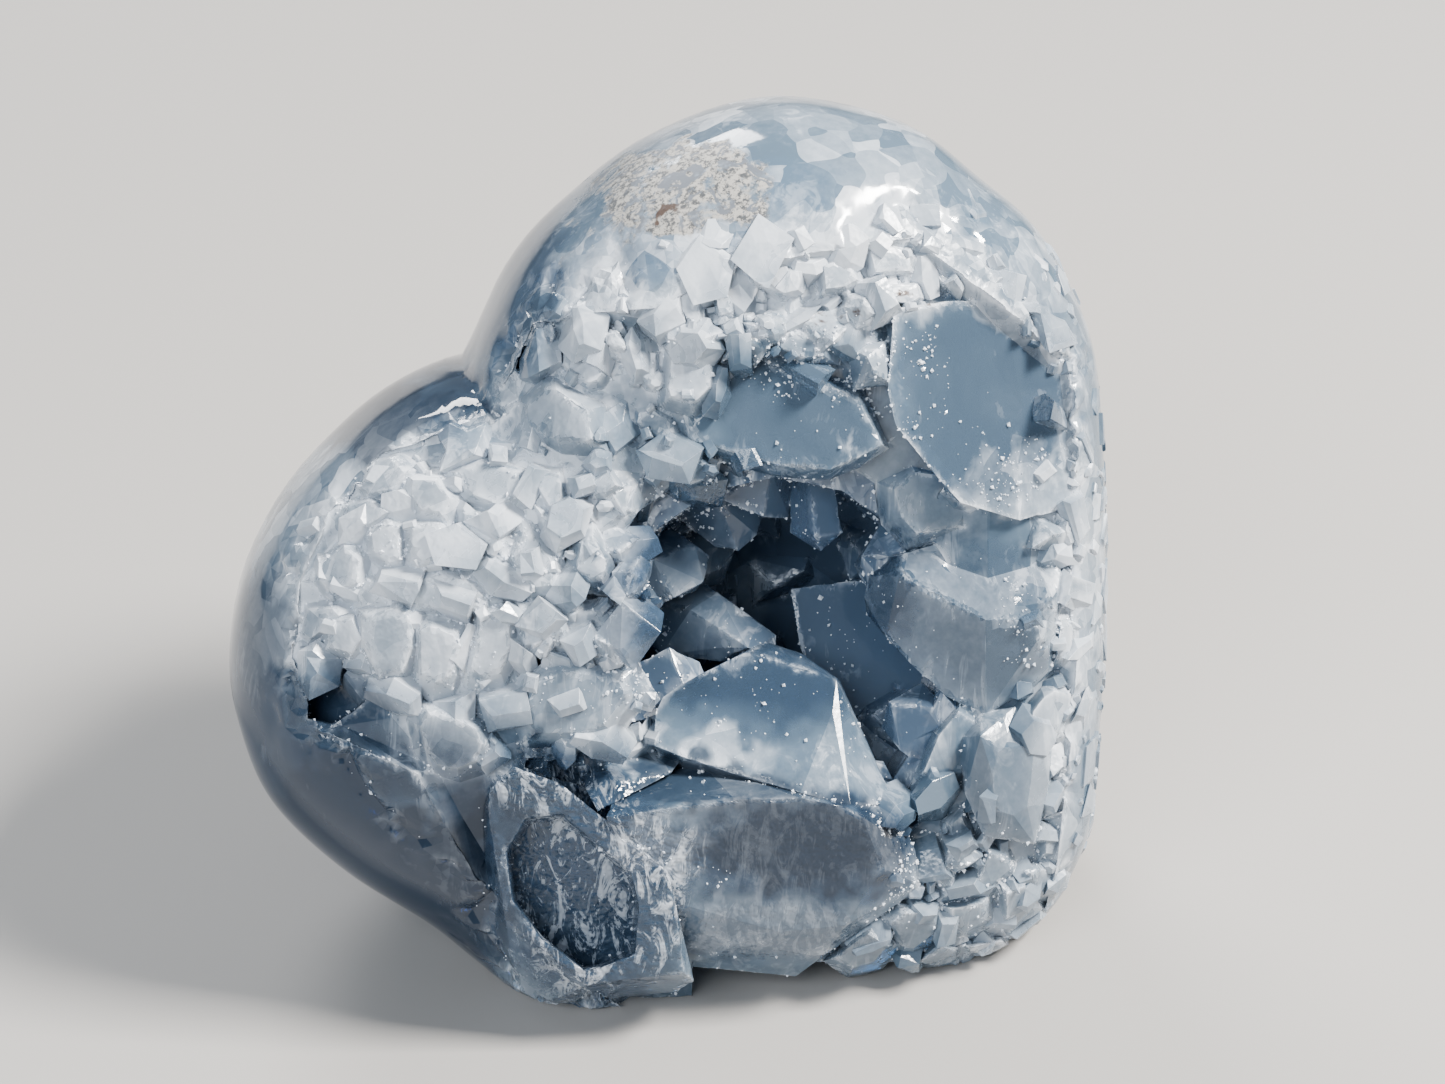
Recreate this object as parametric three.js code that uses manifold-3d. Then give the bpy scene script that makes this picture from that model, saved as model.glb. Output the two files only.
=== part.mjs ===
// A polished, puffy celestite heart that stands on a flat cut in its lower side. Crystals
// crowd its front face and open into a deep hollow, which a second crust of crystals lines.
import * as THREE from "three";
import { ConvexGeometry } from "three/addons/geometries/ConvexGeometry.js";
import { ConvexHull } from "three/addons/math/ConvexHull.js";
import { mergeVertices } from "three/addons/utils/BufferGeometryUtils.js";
import Module from "manifold-3d";

const wasm = await Module();
wasm.setup();

// Driving dimensions, in millimetres and degrees.
const FRONT_SWELL = 24;
const BACK_SWELL = 26;
const SWELL_POWER = 2.67;
const LEAN = 17;
const CENTRE_HEIGHT = 37;
const OUTLINE_STEPS = 64;
const CRUST_GAP = 0.35;
const CRUST_THICKNESS = 2.2;
const CRUST_EDGE = 17;
const HOLLOW_MIDDLE = [5.4, -11.5];
const HOLLOW_RADII = [19.5, 20.5];
const HOLLOW_FLOOR = -13;
const HOLLOW_WALL = 22;
const HOLLOW_MOUTH = 34;
const HOLLOW_STEPS = 16;
const SMOOTHING = 0.05;

// The eye that the corner readings were taken from: it looks along its own sight line at an
// aim beside the heart's centre.
const EYE_TURN = -8;
const EYE_RISE = 32;
const EYE_DISTANCE = 320;
const AIM_RIGHT = 5.75;
const AIM_UP = 1.8;

const radians = THREE.MathUtils.degToRad;
const lean = radians(LEAN);
const turn = radians(EYE_TURN);
const rise = radians(EYE_RISE);

const CENTRE = new THREE.Vector3(0, 0, CENTRE_HEIGHT);
const FACE_UP = new THREE.Vector3(0, Math.sin(lean), Math.cos(lean));
const FACE_OUT = new THREE.Vector3(0, -Math.cos(lean), Math.sin(lean));
const SIGHT_RIGHT = new THREE.Vector3(Math.cos(turn), Math.sin(turn), 0);
const SIGHT_TOWARD = new THREE.Vector3(
  Math.sin(turn) * Math.cos(rise),
  -Math.cos(turn) * Math.cos(rise),
  Math.sin(rise),
);
const SIGHT_UP = new THREE.Vector3().crossVectors(SIGHT_TOWARD, SIGHT_RIGHT);
const AIM = CENTRE.clone()
  .addScaledVector(SIGHT_RIGHT, AIM_RIGHT)
  .addScaledVector(SIGHT_UP, AIM_UP);

// Outline of the heart in its own plane: right and up from its centre, anticlockwise from
// the cleft between the two lobes.
const OUTLINE = [
  [-18.9, 21.0], [-20.5, 20.7], [-24.5, 19.3], [-28.5, 17.1], [-32.5, 13.9], [-36.5, 10.0],
  [-39.5, 5.9], [-41.9, 1.3], [-43.4, -4.0], [-43.8, -8.0], [-43.4, -12.0], [-41.9, -18.0],
  [-39.8, -21.8], [-34.2, -28.0], [-26.2, -34.4], [-21.8, -38.8], [-17.8, -42.6],
  [-12.5, -45.2], [-4.0, -45.6], [8.0, -45.6], [20.0, -45.0], [29.5, -43.4], [35.0, -41.0],
  [38.3, -38.0], [40.5, -34.0], [42.0, -30.0], [42.7, -24.0], [43.3, -18.0], [43.7, -12.0],
  [44.0, 0.0], [43.7, 13.0], [43.0, 20.0], [40.8, 26.3], [37.2, 32.4], [32.4, 36.8],
  [27.0, 41.4], [21.3, 43.8], [14.4, 45.2], [10.4, 45.0], [6.0, 44.0], [-0.8, 41.2],
  [-6.3, 37.4], [-11.1, 33.4], [-14.2, 29.6], [-16.3, 25.8], [-18.0, 22.5],
];

// Every corner below is a reading: right and up of the aim as the eye sees it, then how far
// toward the eye it stands.
const NATURAL_EDGE = [
  [27.8, -45.8], [31.4, -40.3], [33.4, -31.8], [34.4, -23.8], [35.1, -15.8], [35.6, -5.8],
  [35.6, 4.2], [35.4, 14.2], [34.6, 19.7], [32.4, 22.4], [28.6, 22.1], [26.3, 22.9],
  [24.7, 24.2], [24.5, 27.8], [22.8, 28.3], [20.4, 28.4], [20, 30.1], [16.8, 31], [12.8, 29.6],
  [7.8, 28], [1.6, 28.5], [0.6, 27.1], [-5, 26.2], [-5.8, 23.4], [-8.2, 23], [-12.2, 23],
  [-16, 22.6], [-18.2, 23], [-19.5, 20.8], [-20.5, 19.2], [-21, 16.6], [-22.8, 14.6],
  [-28.2, 10.4], [-32.2, 9.2], [-37.7, 7.7], [-39.2, 3.2], [-41, -0.8], [-42.2, -3.8],
  [-43.2, -9.8], [-42.4, -15.8], [-39.7, -19.6], [-35, -19], [-32.5, -19.8], [-29.2, -25.3],
  [-26.7, -30.3], [-22.2, -37], [-18.2, -41], [-13.7, -45], [-8.2, -47.8], [9.8, -46.8],
];

// Big crystals. Each has flat faces, with the depth at a face's first corner and the slopes
// of depth to the right and up, and the rest of its corners. These stand free of the skin.
const FREE_CRYSTALS = [
  // Big block in the middle of the lower front.
  {
    faces: [
      {
        depth: 18,
        slopes: [-0.12, 0.6],
        corners: [
          [1.3, -25.8], [7.8, -25.6], [11.6, -26.4], [14, -27.5], [16, -32.6], [12.3, -38.3],
          [5.8, -39], [1.8, -37.5], [-5, -36], [-11.7, -27.5], [-4.2, -28.5],
        ],
      },
    ],
    rest: [
      [-10.2, -23.9, 13], [-5, -23.1, 12], [-2.2, -22.1, 11], [2.3, -23, 10], [7.8, -24.9, 10],
      [12.8, -26.3, 9], [16.3, -26.1, 10], [17.8, -27, 9], [19.3, -30.8, 8], [20, -34.4, 6],
      [17.8, -35, 8], [-5, -38.3, 9.5], [1.8, -40.1, 8], [10, -41.5, 5], [-3.2, -42.5, 3],
      [3.8, -43, 2], [7.3, -43.5, 1], [-8.2, -31.8, -6], [15.8, -31.8, -8], [3.8, -35.8, -10],
    ],
  },
  // Wedge on that block's left shoulder.
  {
    faces: [],
    rest: [
      [-14, -20.6, 12], [-7.4, -20.2, 10.5], [-4, -21.5, 11.5], [-5, -23.1, 14],
      [-10.2, -23.9, 16], [-12.5, -27, 17.5], [-13.7, -24.8, 16], [-14.3, -22.3, 14],
      [-10.2, -25.8, -5], [-7.2, -22.8, -5],
    ],
  },
  // Etched block with a sunken end, left of it.
  {
    faces: [
      {
        depth: 14,
        slopes: [-0.05, 0.45],
        corners: [
          [-21.7, -37.7], [-23.5, -27], [-23.3, -24.7], [-21, -22.4], [-16.2, -24.1],
          [-11.7, -27.7], [-5.4, -33], [-3.8, -43.1], [-5.8, -42.8], [-13.7, -44.3],
        ],
      },
    ],
    rest: [
      [-2.8, -44, 7], [-4.4, -45, 4], [-12.2, -45.6, 3], [-18, -46.4, 3], [-20.7, -44.8, 3],
      [-24.2, -40.8, 3], [-25.2, -29.8, 6], [-22.2, -25.8, 4], [-10.2, -31.8, -4],
      [-8.2, -41.8, -4],
    ],
  },
];

// The polished skin cuts these where they reach it.
const CUT_CRYSTALS = [
  // Pyramid that stands up into the hollow's mouth.
  {
    faces: [
      {
        depth: 9.5,
        slopes: [-0.02, -0.45],
        corners: [
          [2.2, -11], [6.8, -12.2], [11.4, -13.8], [11, -17], [7.8, -18], [5.6, -20.3],
          [4.3, -22.8], [-2.2, -22.1], [-4.2, -21.4], [-7, -20.3], [-6.7, -17], [-6, -15.5],
          [-4.2, -14.2],
        ],
      },
    ],
    rest: [
      [4.3, -9.9, 7.5], [7.8, -11, 6.5], [11.6, -13.6, 8], [12, -15.8, 9.5], [13.5, -20.8, 10.5],
      [17.3, -26.3, 10], [12.8, -26.3, 14.5], [7.8, -25.1, 15.2], [-2.2, -28.8, -2],
      [14.8, -29.8, -6], [5.8, -31.8, -8], [3.8, -17.8, -6],
    ],
  },
  // Bright spur at its left foot.
  {
    faces: [],
    rest: [
      [-11, -21.7, 14], [-7.2, -17, 11], [-7.1, -20.2, 12.8], [-8.2, -22, 12], [-2.2, -22.8, 2],
      [-7.2, -23.8, 0],
    ],
  },
  // Two-faced point that comes in from the right.
  {
    faces: [
      {
        depth: 13.5,
        slopes: [-0.15, -0.35],
        corners: [
          [19.1, -4.1], [22.3, -5.8], [26.3, -7.8], [32.8, -8], [33.8, -3.3], [32.8, 2.6],
          [29.3, 2], [22.8, -0.1], [18.1, -1.1], [17.8, -2.8],
        ],
      },
      {
        depth: 13.5,
        slopes: [0.285, 0.5],
        corners: [
          [19.1, -4.1], [26.3, -7.8], [26.3, -17.3], [22.3, -15.5], [19.8, -13.3], [18.3, -11.3],
          [16.3, -9.5],
        ],
      },
    ],
    rest: [
      [16.1, -1.5, 10.5], [14.6, -3.5, 10.5], [14.1, -5.5, 9.5], [14.4, -7.3, 9], [32.6, -13, 9],
      [30.8, -14.8, 8.5], [36.3, -1.8, -2], [36.3, -11.8, -4], [31.8, -5.8, -8],
      [25.8, -7.8, -4],
    ],
  },
  // Broad slab at the upper right.
  {
    faces: [
      {
        depth: 19.5,
        slopes: [-0.55, 0.1],
        corners: [
          [22.8, 21.2], [17.1, 23.4], [22.8, 24.2], [26.3, 23], [28.6, 22], [31.8, 23.9],
          [36.6, 19.7], [37.3, 11.2], [37, 4.7], [33.3, 3], [29.8, 2.1], [26.8, 3.5],
          [23.8, 3.9], [21.3, 6.7], [17.3, 11.7], [16.5, 15.2],
        ],
      },
    ],
    rest: [
      [20.8, 12.2, 6], [27.8, 19.2, 2], [33.8, 12.2, -4], [27.8, 6.2, 2],
    ],
  },
  // Long block over the hollow.
  {
    faces: [
      {
        depth: 22.5,
        slopes: [-0.05, 0.1],
        corners: [
          [-2.2, 16.2], [3.8, 18], [12.3, 15], [13.6, 14.2], [16, 9.7], [13.6, 8.4], [10.8, 7.2],
          [5.8, 7.6], [1.8, 8.7], [-1, 9.9], [-3.2, 10.2], [-4.2, 13.7],
        ],
      },
    ],
    rest: [
      [-2.2, 17.2, 19.5], [3.8, 19.2, 20], [12.3, 15.7, 19.5], [14, 16, 18.5], [16.8, 9.3, 17.5],
      [13.8, 7.4, 18], [10.8, 6.1, 18.5], [5.8, 6.4, 19], [1.8, 7.5, 19], [-1, 8.7, 18.5],
      [-4.4, 9, 17.5], [-6.2, 13.2, 18], [5.8, 21.2, 5], [12.8, 18.2, 5], [-2.2, 20.2, 5],
      [5.8, 13.2, 4],
    ],
  },
  // Eave between the slab and the point.
  {
    faces: [],
    rest: [
      [15.8, 8.5, 13], [14.6, 6.2, 10], [14.2, 4.2, 9], [15.8, 2.2, 8], [18.4, -0.7, 8],
      [22.8, 0.2, 9], [29.6, 2.1, 11], [26.8, 3.5, 14], [23.8, 3.9, 15], [21.3, 6.2, 15],
      [17.1, 7.2, 15], [23.8, 6.2, -2], [29.8, 4.2, 0], [20.8, 4.2, -2],
    ],
  },
  // Upright crystal at the lower right.
  {
    faces: [],
    rest: [
      [25.8, -19.4, 12], [30, -22.2, 11], [24.2, -25.2, 9], [26.1, -29.6, 7.5], [31.3, -30.3, 5],
      [32.6, -24.1, 7], [32.8, -20.5, 8], [23.3, -19.5, 8.5], [25.8, -17, 9], [29.3, -16.4, 9],
      [27.8, -25.8, 10.5], [33.8, -21.8, -4], [31.8, -26.8, -8], [25.8, -22.8, -8],
    ],
  },
];

// These belong to the hollow's crust.
const DEEP_CRYSTALS = [
  // Flat slab down the hollow's right side.
  {
    faces: [
      {
        depth: 2,
        slopes: [-0.1, -0.05],
        corners: [
          [6.7, -4.6], [14.8, -3.6], [17.8, -9.8], [22.8, -15.8], [24, -25.3], [20.8, -29.3],
          [17.8, -28.3], [12.8, -17.8], [11.3, -13.8], [7.8, -10.8],
        ],
      },
    ],
    rest: [
      [7.8, -5.8, -15], [21.8, -9.8, -15], [21.8, -27.8, -15], [12.8, -21.8, -15],
    ],
  },
  // Block that hangs at the back of the hollow.
  {
    faces: [],
    rest: [
      [-4.2, 2.2, 8], [-0.7, -0.6, 6], [1.6, -1, 6], [3.5, 0.7, 6], [4.2, 2.7, 6], [2.8, 6.4, 8],
      [-2.2, 6.2, 10], [-0.2, 3.7, 10], [-4.2, 6.2, -8], [1.8, 4.2, -8],
    ],
  },
  // Striated block at its upper left.
  {
    faces: [],
    rest: [
      [-12.2, 4.2, 13], [-9.7, 5.7, 13], [-5.7, 3.2, 11], [-6.7, -1.8, 9], [-10.2, -0.3, 11],
      [-11, 2.2, 14], [-13.2, 2.2, -4], [-8.2, 0.2, -4],
    ],
  },
  // Blunt block low in its left half.
  {
    faces: [],
    rest: [
      [-7.7, -5.8, 3], [-2.2, -3.8, 4], [-0.5, -5, 6], [3.8, -8.2, 6], [5.4, -9.3, 5],
      [5.4, -10.8, 5], [2.3, -10.3, 8], [-3.2, -6.8, 7], [-6.2, -11.3, 4], [-0.2, -12, 6],
      [-8, -9, 2], [-7.2, -9.8, -10], [1.8, -9.8, -10], [-2.2, -5.8, -10],
    ],
  },
];

// Sunken end of the etched block: its mouth lies on the block's face, and its floor is
// tapered about the middle and sunk.
const HOPPER = {
  depth: 14.5,
  slopes: [-0.05, 0.45],
  middle: [-14.5, -36],
  taper: 0.9,
  clearance: 6,
  sink: 1,
  corners: [
    [-19.7, -27.3], [-16.2, -27], [-12.2, -30.3], [-9, -33], [-8.2, -36.3], [-8.6, -41.3],
    [-12.2, -42.8], [-13.9, -43], [-18.2, -39.8], [-21.2, -35.8], [-21.9, -30.8],
  ],
};

// Middle-sized crystals of the face. Corners run round the foot of each; crest is the middle
// of its flat top, which is share of the foot's size. Top and edge say how far those two
// stand under the polished skin.
const KNOBS = [
  {
    top: 0.5, edge: 2.7, share: 0.57, crest: [-33.4, 0],
    corners: [
      [-36.4, 1.4], [-33.7, 3.5], [-31.4, 2.6], [-32, -0.3], [-31.4, -3], [-33.7, -3.5],
      [-36, -1.6],
    ],
  },
  {
    top: 0.2, edge: 2.7, share: 0.57, crest: [-29.2, 0.2],
    corners: [
      [-32.7, 2.5], [-28, 3.1], [-24.6, -0.4], [-25, -1.2], [-28, -2.4], [-30.4, -4.1],
      [-32.2, -2.7],
    ],
  },
  {
    top: 1.2, edge: 2.7, share: 0.62, crest: [-27.7, -4.6],
    corners: [
      [-32.9, -3.7], [-28.3, -2], [-23.4, -3.9], [-21.7, -6], [-24.8, -7.4], [-31.5, -7.8],
      [-33.2, -6.7],
    ],
  },
  {
    top: 1, edge: 3, share: 0.57, crest: [-19.2, -1.8],
    corners: [
      [-22.1, -0.6], [-20.4, 2.6], [-19, 2.8], [-15.7, -1.8], [-15.5, -6.2], [-19, -6.7],
      [-21.8, -4.1],
    ],
  },
  {
    top: 0.8, edge: 2.7, share: 0.62, crest: [-23.2, 6.4],
    corners: [
      [-29, 7.3], [-24.4, 9.1], [-18.6, 7.3], [-18.6, 3.8], [-22, 2.1], [-26.1, 3.8],
    ],
  },
  {
    top: 0.2, edge: 2.4, share: 0.52, crest: [-29.2, 4.7],
    corners: [
      [-32.7, 7.6], [-28, 7.6], [-25.5, 4.1], [-26.9, 0.6], [-30.9, 1.8], [-32.9, 4.7],
    ],
  },
  {
    top: 1.2, edge: 3, share: 0.62, crest: [-17.2, 5.2],
    corners: [
      [-18.4, 8.1], [-15.8, 7.8], [-15.1, 2.3], [-17.4, 2.6], [-19.5, 6.1],
    ],
  },
  {
    top: 1.2, edge: 3.6, share: 0.52, crest: [-11.7, 6],
    corners: [
      [-14, 6.2], [-11.4, 7.9], [-9.7, 5.4], [-11.6, 4], [-13.4, 3.9],
    ],
  },
  {
    top: 1, edge: 3.6, share: 0.52, crest: [-13, -1.8],
    corners: [
      [-15.3, 1.1], [-13, 2.6], [-10.7, -1.6], [-10.6, -3.9], [-11.3, -5.5], [-13.5, -5.5],
      [-16, -3.5],
    ],
  },
  {
    top: 1, edge: 3, share: 0.62, crest: [-23, -9.8],
    corners: [
      [-24.6, -5.7], [-20.4, -6.1], [-20.1, -11], [-21.7, -14.7], [-24.6, -15.8], [-26.5, -14.2],
      [-25.6, -9.8],
    ],
  },
  {
    top: 1.2, edge: 3, share: 0.57, crest: [-19.2, -8.3],
    corners: [
      [-20.9, -5.6], [-17.3, -5.4], [-16.6, -10], [-20.1, -11.9], [-21.3, -8],
    ],
  },
  {
    top: 2, edge: 3.6, share: 0.62, crest: [-12.2, -9],
    corners: [
      [-18.2, -5.9], [-12.2, -5.5], [-8.3, -6], [-6.4, -7.8], [-8.3, -12.2], [-12.2, -13.4],
      [-17.8, -11.3],
    ],
  },
  {
    top: 1.8, edge: 4.2, share: 0.52, crest: [-9, -7],
    corners: [
      [-11.1, -5.6], [-8.1, -5.1], [-7, -7.5], [-8.8, -9.6], [-10.9, -9.1],
    ],
  },
  {
    top: 0.3, edge: 2.1, share: 0.62, crest: [-34.4, 6.8],
    corners: [
      [-38.2, 7.8], [-31.8, 9.6], [-29.5, 7.3], [-32.4, 4.4], [-35.9, 3.8], [-38.8, 5.5],
    ],
  },
  {
    top: 0.3, edge: 2.4, share: 0.57, crest: [-35.7, 3],
    corners: [
      [-39.2, 3.8], [-35.1, 5], [-31.9, 3], [-34.9, 0.9], [-38, 0.3],
    ],
  },
  {
    top: 0.4, edge: 2.4, share: 0.57, crest: [-38.2, -2.8],
    corners: [
      [-41.1, -1.6], [-37.6, 1.3], [-35, -1.2], [-35.3, -5.1], [-39.4, -6.3], [-41.9, -4.5],
    ],
  },
  {
    top: 1, edge: 2.7, share: 0.57, crest: [-34.4, -5.2],
    corners: [
      [-35.9, -3], [-31.8, -3], [-32.1, -7.3], [-37.1, -7.3], [-38.2, -5.3],
    ],
  },
  {
    top: 0.5, edge: 2.4, share: 0.52, crest: [-40.4, -8],
    corners: [
      [-42.5, -5.4], [-37.8, -5.4], [-36.5, -6.8], [-40.4, -7.2], [-41.9, -11.2], [-43.2, -10.1],
    ],
  },
  {
    top: 0.8, edge: 2.7, share: 0.57, crest: [-24.2, 1.2],
    corners: [
      [-27.1, 4.1], [-21.9, 3.3], [-21.3, -0.9], [-24.4, -2.3], [-26.3, 0],
    ],
  },
  {
    top: 0.8, edge: 3, share: 0.47, crest: [-16.9, 1.2],
    corners: [
      [-19.6, 4.7], [-15.4, 2.9], [-14.7, 0.6], [-16.1, -2.5], [-17.8, -0.5],
    ],
  },
  {
    top: 1.5, edge: 4, share: 0.5, crest: [-23.2, 11.2],
    corners: [
      [-28.2, 11.2], [-22.5, 14.2], [-21.7, 10.5], [-17.7, 8.5], [-19.2, 7.2], [-24.2, 8.7],
      [-27.2, 8.2],
    ],
  },
  {
    top: 0.3, edge: 2.8, share: 0.45, crest: [35.6, 1.2],
    corners: [
      [33.3, 3], [37.3, 3.7], [37.6, -0.8], [34, -1.8], [33, 0.7],
    ],
  },
  {
    top: 0.4, edge: 2.8, share: 0.45, crest: [36, -4],
    corners: [
      [34, -2], [37.6, -1.3], [37.8, -5.8], [33.8, -6.8],
    ],
  },
  {
    top: 0.8, edge: 3.2, share: 0.45, crest: [34.3, -9.8],
    corners: [
      [33.3, -5.8], [35.3, -5.8], [36, -9.8], [35, -13.3], [32.6, -13], [32.8, -9.8],
    ],
  },
  {
    top: 0.2, edge: 2.4, share: 0.45, crest: [36.8, -9.8],
    corners: [
      [35.6, -6.8], [37.8, -6.3], [37.6, -12.8], [36, -13],
    ],
  },
  {
    top: 0.4, edge: 3.2, share: 0.6, crest: [32.8, -17],
    corners: [
      [29.6, -18], [30, -16.8], [31.8, -14.5], [33.3, -13.6], [36.3, -14], [36.6, -19.8],
      [33.8, -20.8], [31.8, -19.9], [29.8, -19],
    ],
  },
  {
    top: 0.5, edge: 3.2, share: 0.45, crest: [35, -22.3],
    corners: [
      [33, -20.6], [36.6, -20], [37, -23.3], [34.8, -24.8], [32.6, -24.3],
    ],
  },
  {
    top: 0.4, edge: 2.8, share: 0.4, crest: [35, -26.6],
    corners: [
      [32, -27.8], [36.8, -23.3], [36.3, -28.8], [33.8, -28.8],
    ],
  },
  {
    top: 0.8, edge: 3.2, share: 0.5, crest: [33.4, -30.3],
    corners: [
      [31.3, -30.3], [32, -28], [35.8, -29], [35.3, -32.3], [31.3, -32],
    ],
  },
  {
    top: 0.6, edge: 3.2, share: 0.6, crest: [32.6, -34.2],
    corners: [
      [29.5, -32.6], [31.1, -31.7], [35.1, -32.4], [34.2, -36.6], [30.6, -36],
    ],
  },
  {
    top: 0.6, edge: 3.2, share: 0.62, crest: [30, -37.3],
    corners: [
      [27.5, -33.9], [30.3, -32.8], [31.1, -36.2], [33.7, -36.7], [32.2, -40.1], [28.7, -40.7],
      [27.5, -37.9],
    ],
  },
  {
    top: 1.5, edge: 4, share: 0.55, crest: [27.3, -32.6],
    corners: [
      [26.2, -30], [29, -30.6], [30.1, -32.8], [26.7, -35.6], [23.4, -36.2], [25.6, -32.8],
    ],
  },
  {
    top: 1.5, edge: 4, share: 0.55, crest: [24.6, -37.3],
    corners: [
      [21.5, -36.2], [27.1, -35.1], [28.2, -37.9], [23.7, -40.7], [22, -38.4],
    ],
  },
  {
    top: 0.5, edge: 3.6, share: 0.6, crest: [27, -41],
    corners: [
      [23.4, -40.2], [27.9, -39.4], [31.3, -40.8], [28.5, -42.6], [24.3, -42.8],
    ],
  },
  {
    top: 1.6, edge: 4, share: 0.6, crest: [19.3, -38.8],
    corners: [
      [15.4, -37.7], [17.6, -36], [22.1, -36], [22.8, -38.2], [21.9, -39.7], [19, -41.9],
      [17.6, -41.6],
    ],
  },
  {
    top: 0.5, edge: 4, share: 0.6, crest: [13.8, -40.8],
    corners: [
      [10, -41.9], [12.7, -39.5], [15.1, -38.1], [18.3, -40.2], [16, -42.8], [12.5, -43.8],
      [11.3, -42.6],
    ],
  },
  {
    top: 1, edge: 4, share: 0.55, crest: [21.6, -41.5],
    corners: [
      [17.9, -42.4], [21.8, -39.6], [24.1, -40.2], [25, -42.7], [20.7, -43],
    ],
  },
  {
    top: 3, edge: 5.6, share: 0.5, crest: [22.3, -33.3],
    corners: [
      [20.1, -33.9], [22.3, -30.5], [24, -32.7], [23.8, -35.9], [21.2, -35],
    ],
  },
  {
    top: 3.5, edge: 5.6, share: 0.45, crest: [23.6, -28.8],
    corners: [
      [21.8, -27.8], [24.3, -25.8], [26.1, -29.6], [25.3, -30.8], [22.3, -30.8],
    ],
  },
  {
    top: 0.3, edge: 3.6, share: 0.55, crest: [-27.2, -19.6],
    corners: [
      [-31.3, -14.8], [-32.6, -17.4], [-32, -21.1], [-29.6, -24.4], [-26, -25.1], [-22.6, -23.7],
      [-21.5, -20.7], [-22.7, -17.8], [-27, -15.8],
    ],
  },
  {
    top: 1.2, edge: 3, share: 0.65, crest: [-15.2, -16.1],
    corners: [
      [-21.7, -15.8], [-20.6, -20.8], [-13.7, -20.6], [-10.1, -19.5], [-6.6, -14.8],
      [-8.2, -12.3], [-16.2, -11.3], [-20.2, -13],
    ],
  },
  {
    top: 0.3, edge: 3, share: 0.52, crest: [-37.7, -9.3],
    corners: [
      [-40.9, -11.6], [-40.6, -6.6], [-36.5, -6.4], [-34.6, -9.9], [-36.5, -12.8],
    ],
  },
  {
    top: 0.2, edge: 3.6, share: 0.62, crest: [-33.4, -9.6],
    corners: [
      [-37.8, -9.8], [-37.6, -5.7], [-32, -4.6], [-29.9, -6.6], [-29.7, -11], [-31.2, -14.9],
      [-34.9, -16], [-36, -12.6],
    ],
  },
  {
    top: 0.2, edge: 3, share: 0.57, crest: [-28.4, -10.8],
    corners: [
      [-31.6, -7.3], [-29.9, -6.6], [-25.8, -8.2], [-24.5, -10.2], [-26.7, -15.7],
      [-29.1, -16.6], [-31.4, -14.9],
    ],
  },
  {
    top: 0.8, edge: 4, share: 0.55, crest: [-16.2, 12.7],
    corners: [
      [-22.5, 14.7], [-20.2, 16.2], [-18.7, 17.4], [-17, 17.4], [-13.7, 15], [-11.4, 13.7],
      [-10.6, 8.4], [-11.9, 7.8], [-16, 7.8], [-17.7, 8.5], [-21.7, 10.5],
    ],
  },
  {
    top: 3, edge: 4.4, share: 0.5, crest: [-33.7, -17],
    corners: [
      [-37.7, -18], [-34.4, -14.8], [-31.7, -14.3], [-32.2, -15.8], [-32.7, -19.3],
      [-34.7, -18.8],
    ],
  },
  {
    top: 0.6, edge: 4, share: 0.45, crest: [-17.4, 21],
    corners: [
      [-19.2, 20.9], [-18.2, 22.7], [-16.9, 23], [-16.4, 21.6], [-15.9, 20.4], [-17, 18.6],
      [-18.2, 19.7],
    ],
  },
  {
    top: 0.5, edge: 3.6, share: 0.48, crest: [-10.8, 20.2],
    corners: [
      [-13.4, 21.5], [-10.7, 21.7], [-8.7, 19.6], [-8.9, 18.2], [-11, 18.6], [-12.3, 19.5],
    ],
  },
  {
    top: 0.4, edge: 3.2, share: 0.48, crest: [-14.7, 21.2],
    corners: [
      [-16.1, 22.3], [-12.5, 22.7], [-12.2, 20.6], [-14.2, 19.7], [-15.8, 20.5],
    ],
  },
  {
    top: 0.6, edge: 3.6, share: 0.53, crest: [-3.4, 23.7],
    corners: [
      [-5.6, 24.2], [-5.2, 26.4], [-1.5, 26.7], [-1.2, 21], [-2.1, 20.2], [-3.8, 21.5],
    ],
  },
  {
    top: 1, edge: 3.6, share: 0.48, crest: [0, 24.2],
    corners: [
      [-1.5, 26.6], [0.7, 27.3], [2, 24.2], [1.8, 21.4], [-0.9, 20.9],
    ],
  },
  {
    top: 0.4, edge: 3.2, share: 0.53, crest: [3.5, 27.2],
    corners: [
      [1.6, 28.7], [5.5, 28.5], [4.7, 25.4], [3.3, 24.7], [2.2, 25.6],
    ],
  },
  {
    top: 0.8, edge: 3.6, share: 0.53, crest: [6.6, 26],
    corners: [
      [4, 24.9], [6.6, 28.2], [9.2, 28], [8.5, 24.5], [5.7, 23.8],
    ],
  },
  {
    top: 1, edge: 3.6, share: 0.58, crest: [11.6, 27],
    corners: [
      [9, 28.1], [12.7, 29.6], [14.9, 25.7], [12.9, 24.4], [9.4, 24.1],
    ],
  },
  {
    top: 1.6, edge: 4, share: 0.6, crest: [17.5, 25],
    corners: [
      [14.3, 26.1], [20.7, 26.5], [21.2, 24.1], [19.5, 23.1], [15, 23.7],
    ],
  },
  {
    top: 1.2, edge: 3.6, share: 0.58, crest: [16.6, 28.2],
    corners: [
      [13.5, 29.7], [17, 30.8], [20.3, 29.5], [20.2, 26.3], [14.4, 26],
    ],
  },
  {
    top: 1.6, edge: 3.6, share: 0.53, crest: [22.6, 26.6],
    corners: [
      [20.4, 28.4], [24.6, 27.9], [24.9, 25.3], [22.3, 24.4], [20.8, 25.9],
    ],
  },
  {
    top: 2.2, edge: 4, share: 0.6, crest: [7.8, 20],
    corners: [
      [4.7, 21.9], [11.1, 22.3], [12.2, 19.7], [11.8, 17.6], [7.8, 17.4], [4.5, 19.1],
    ],
  },
  {
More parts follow.
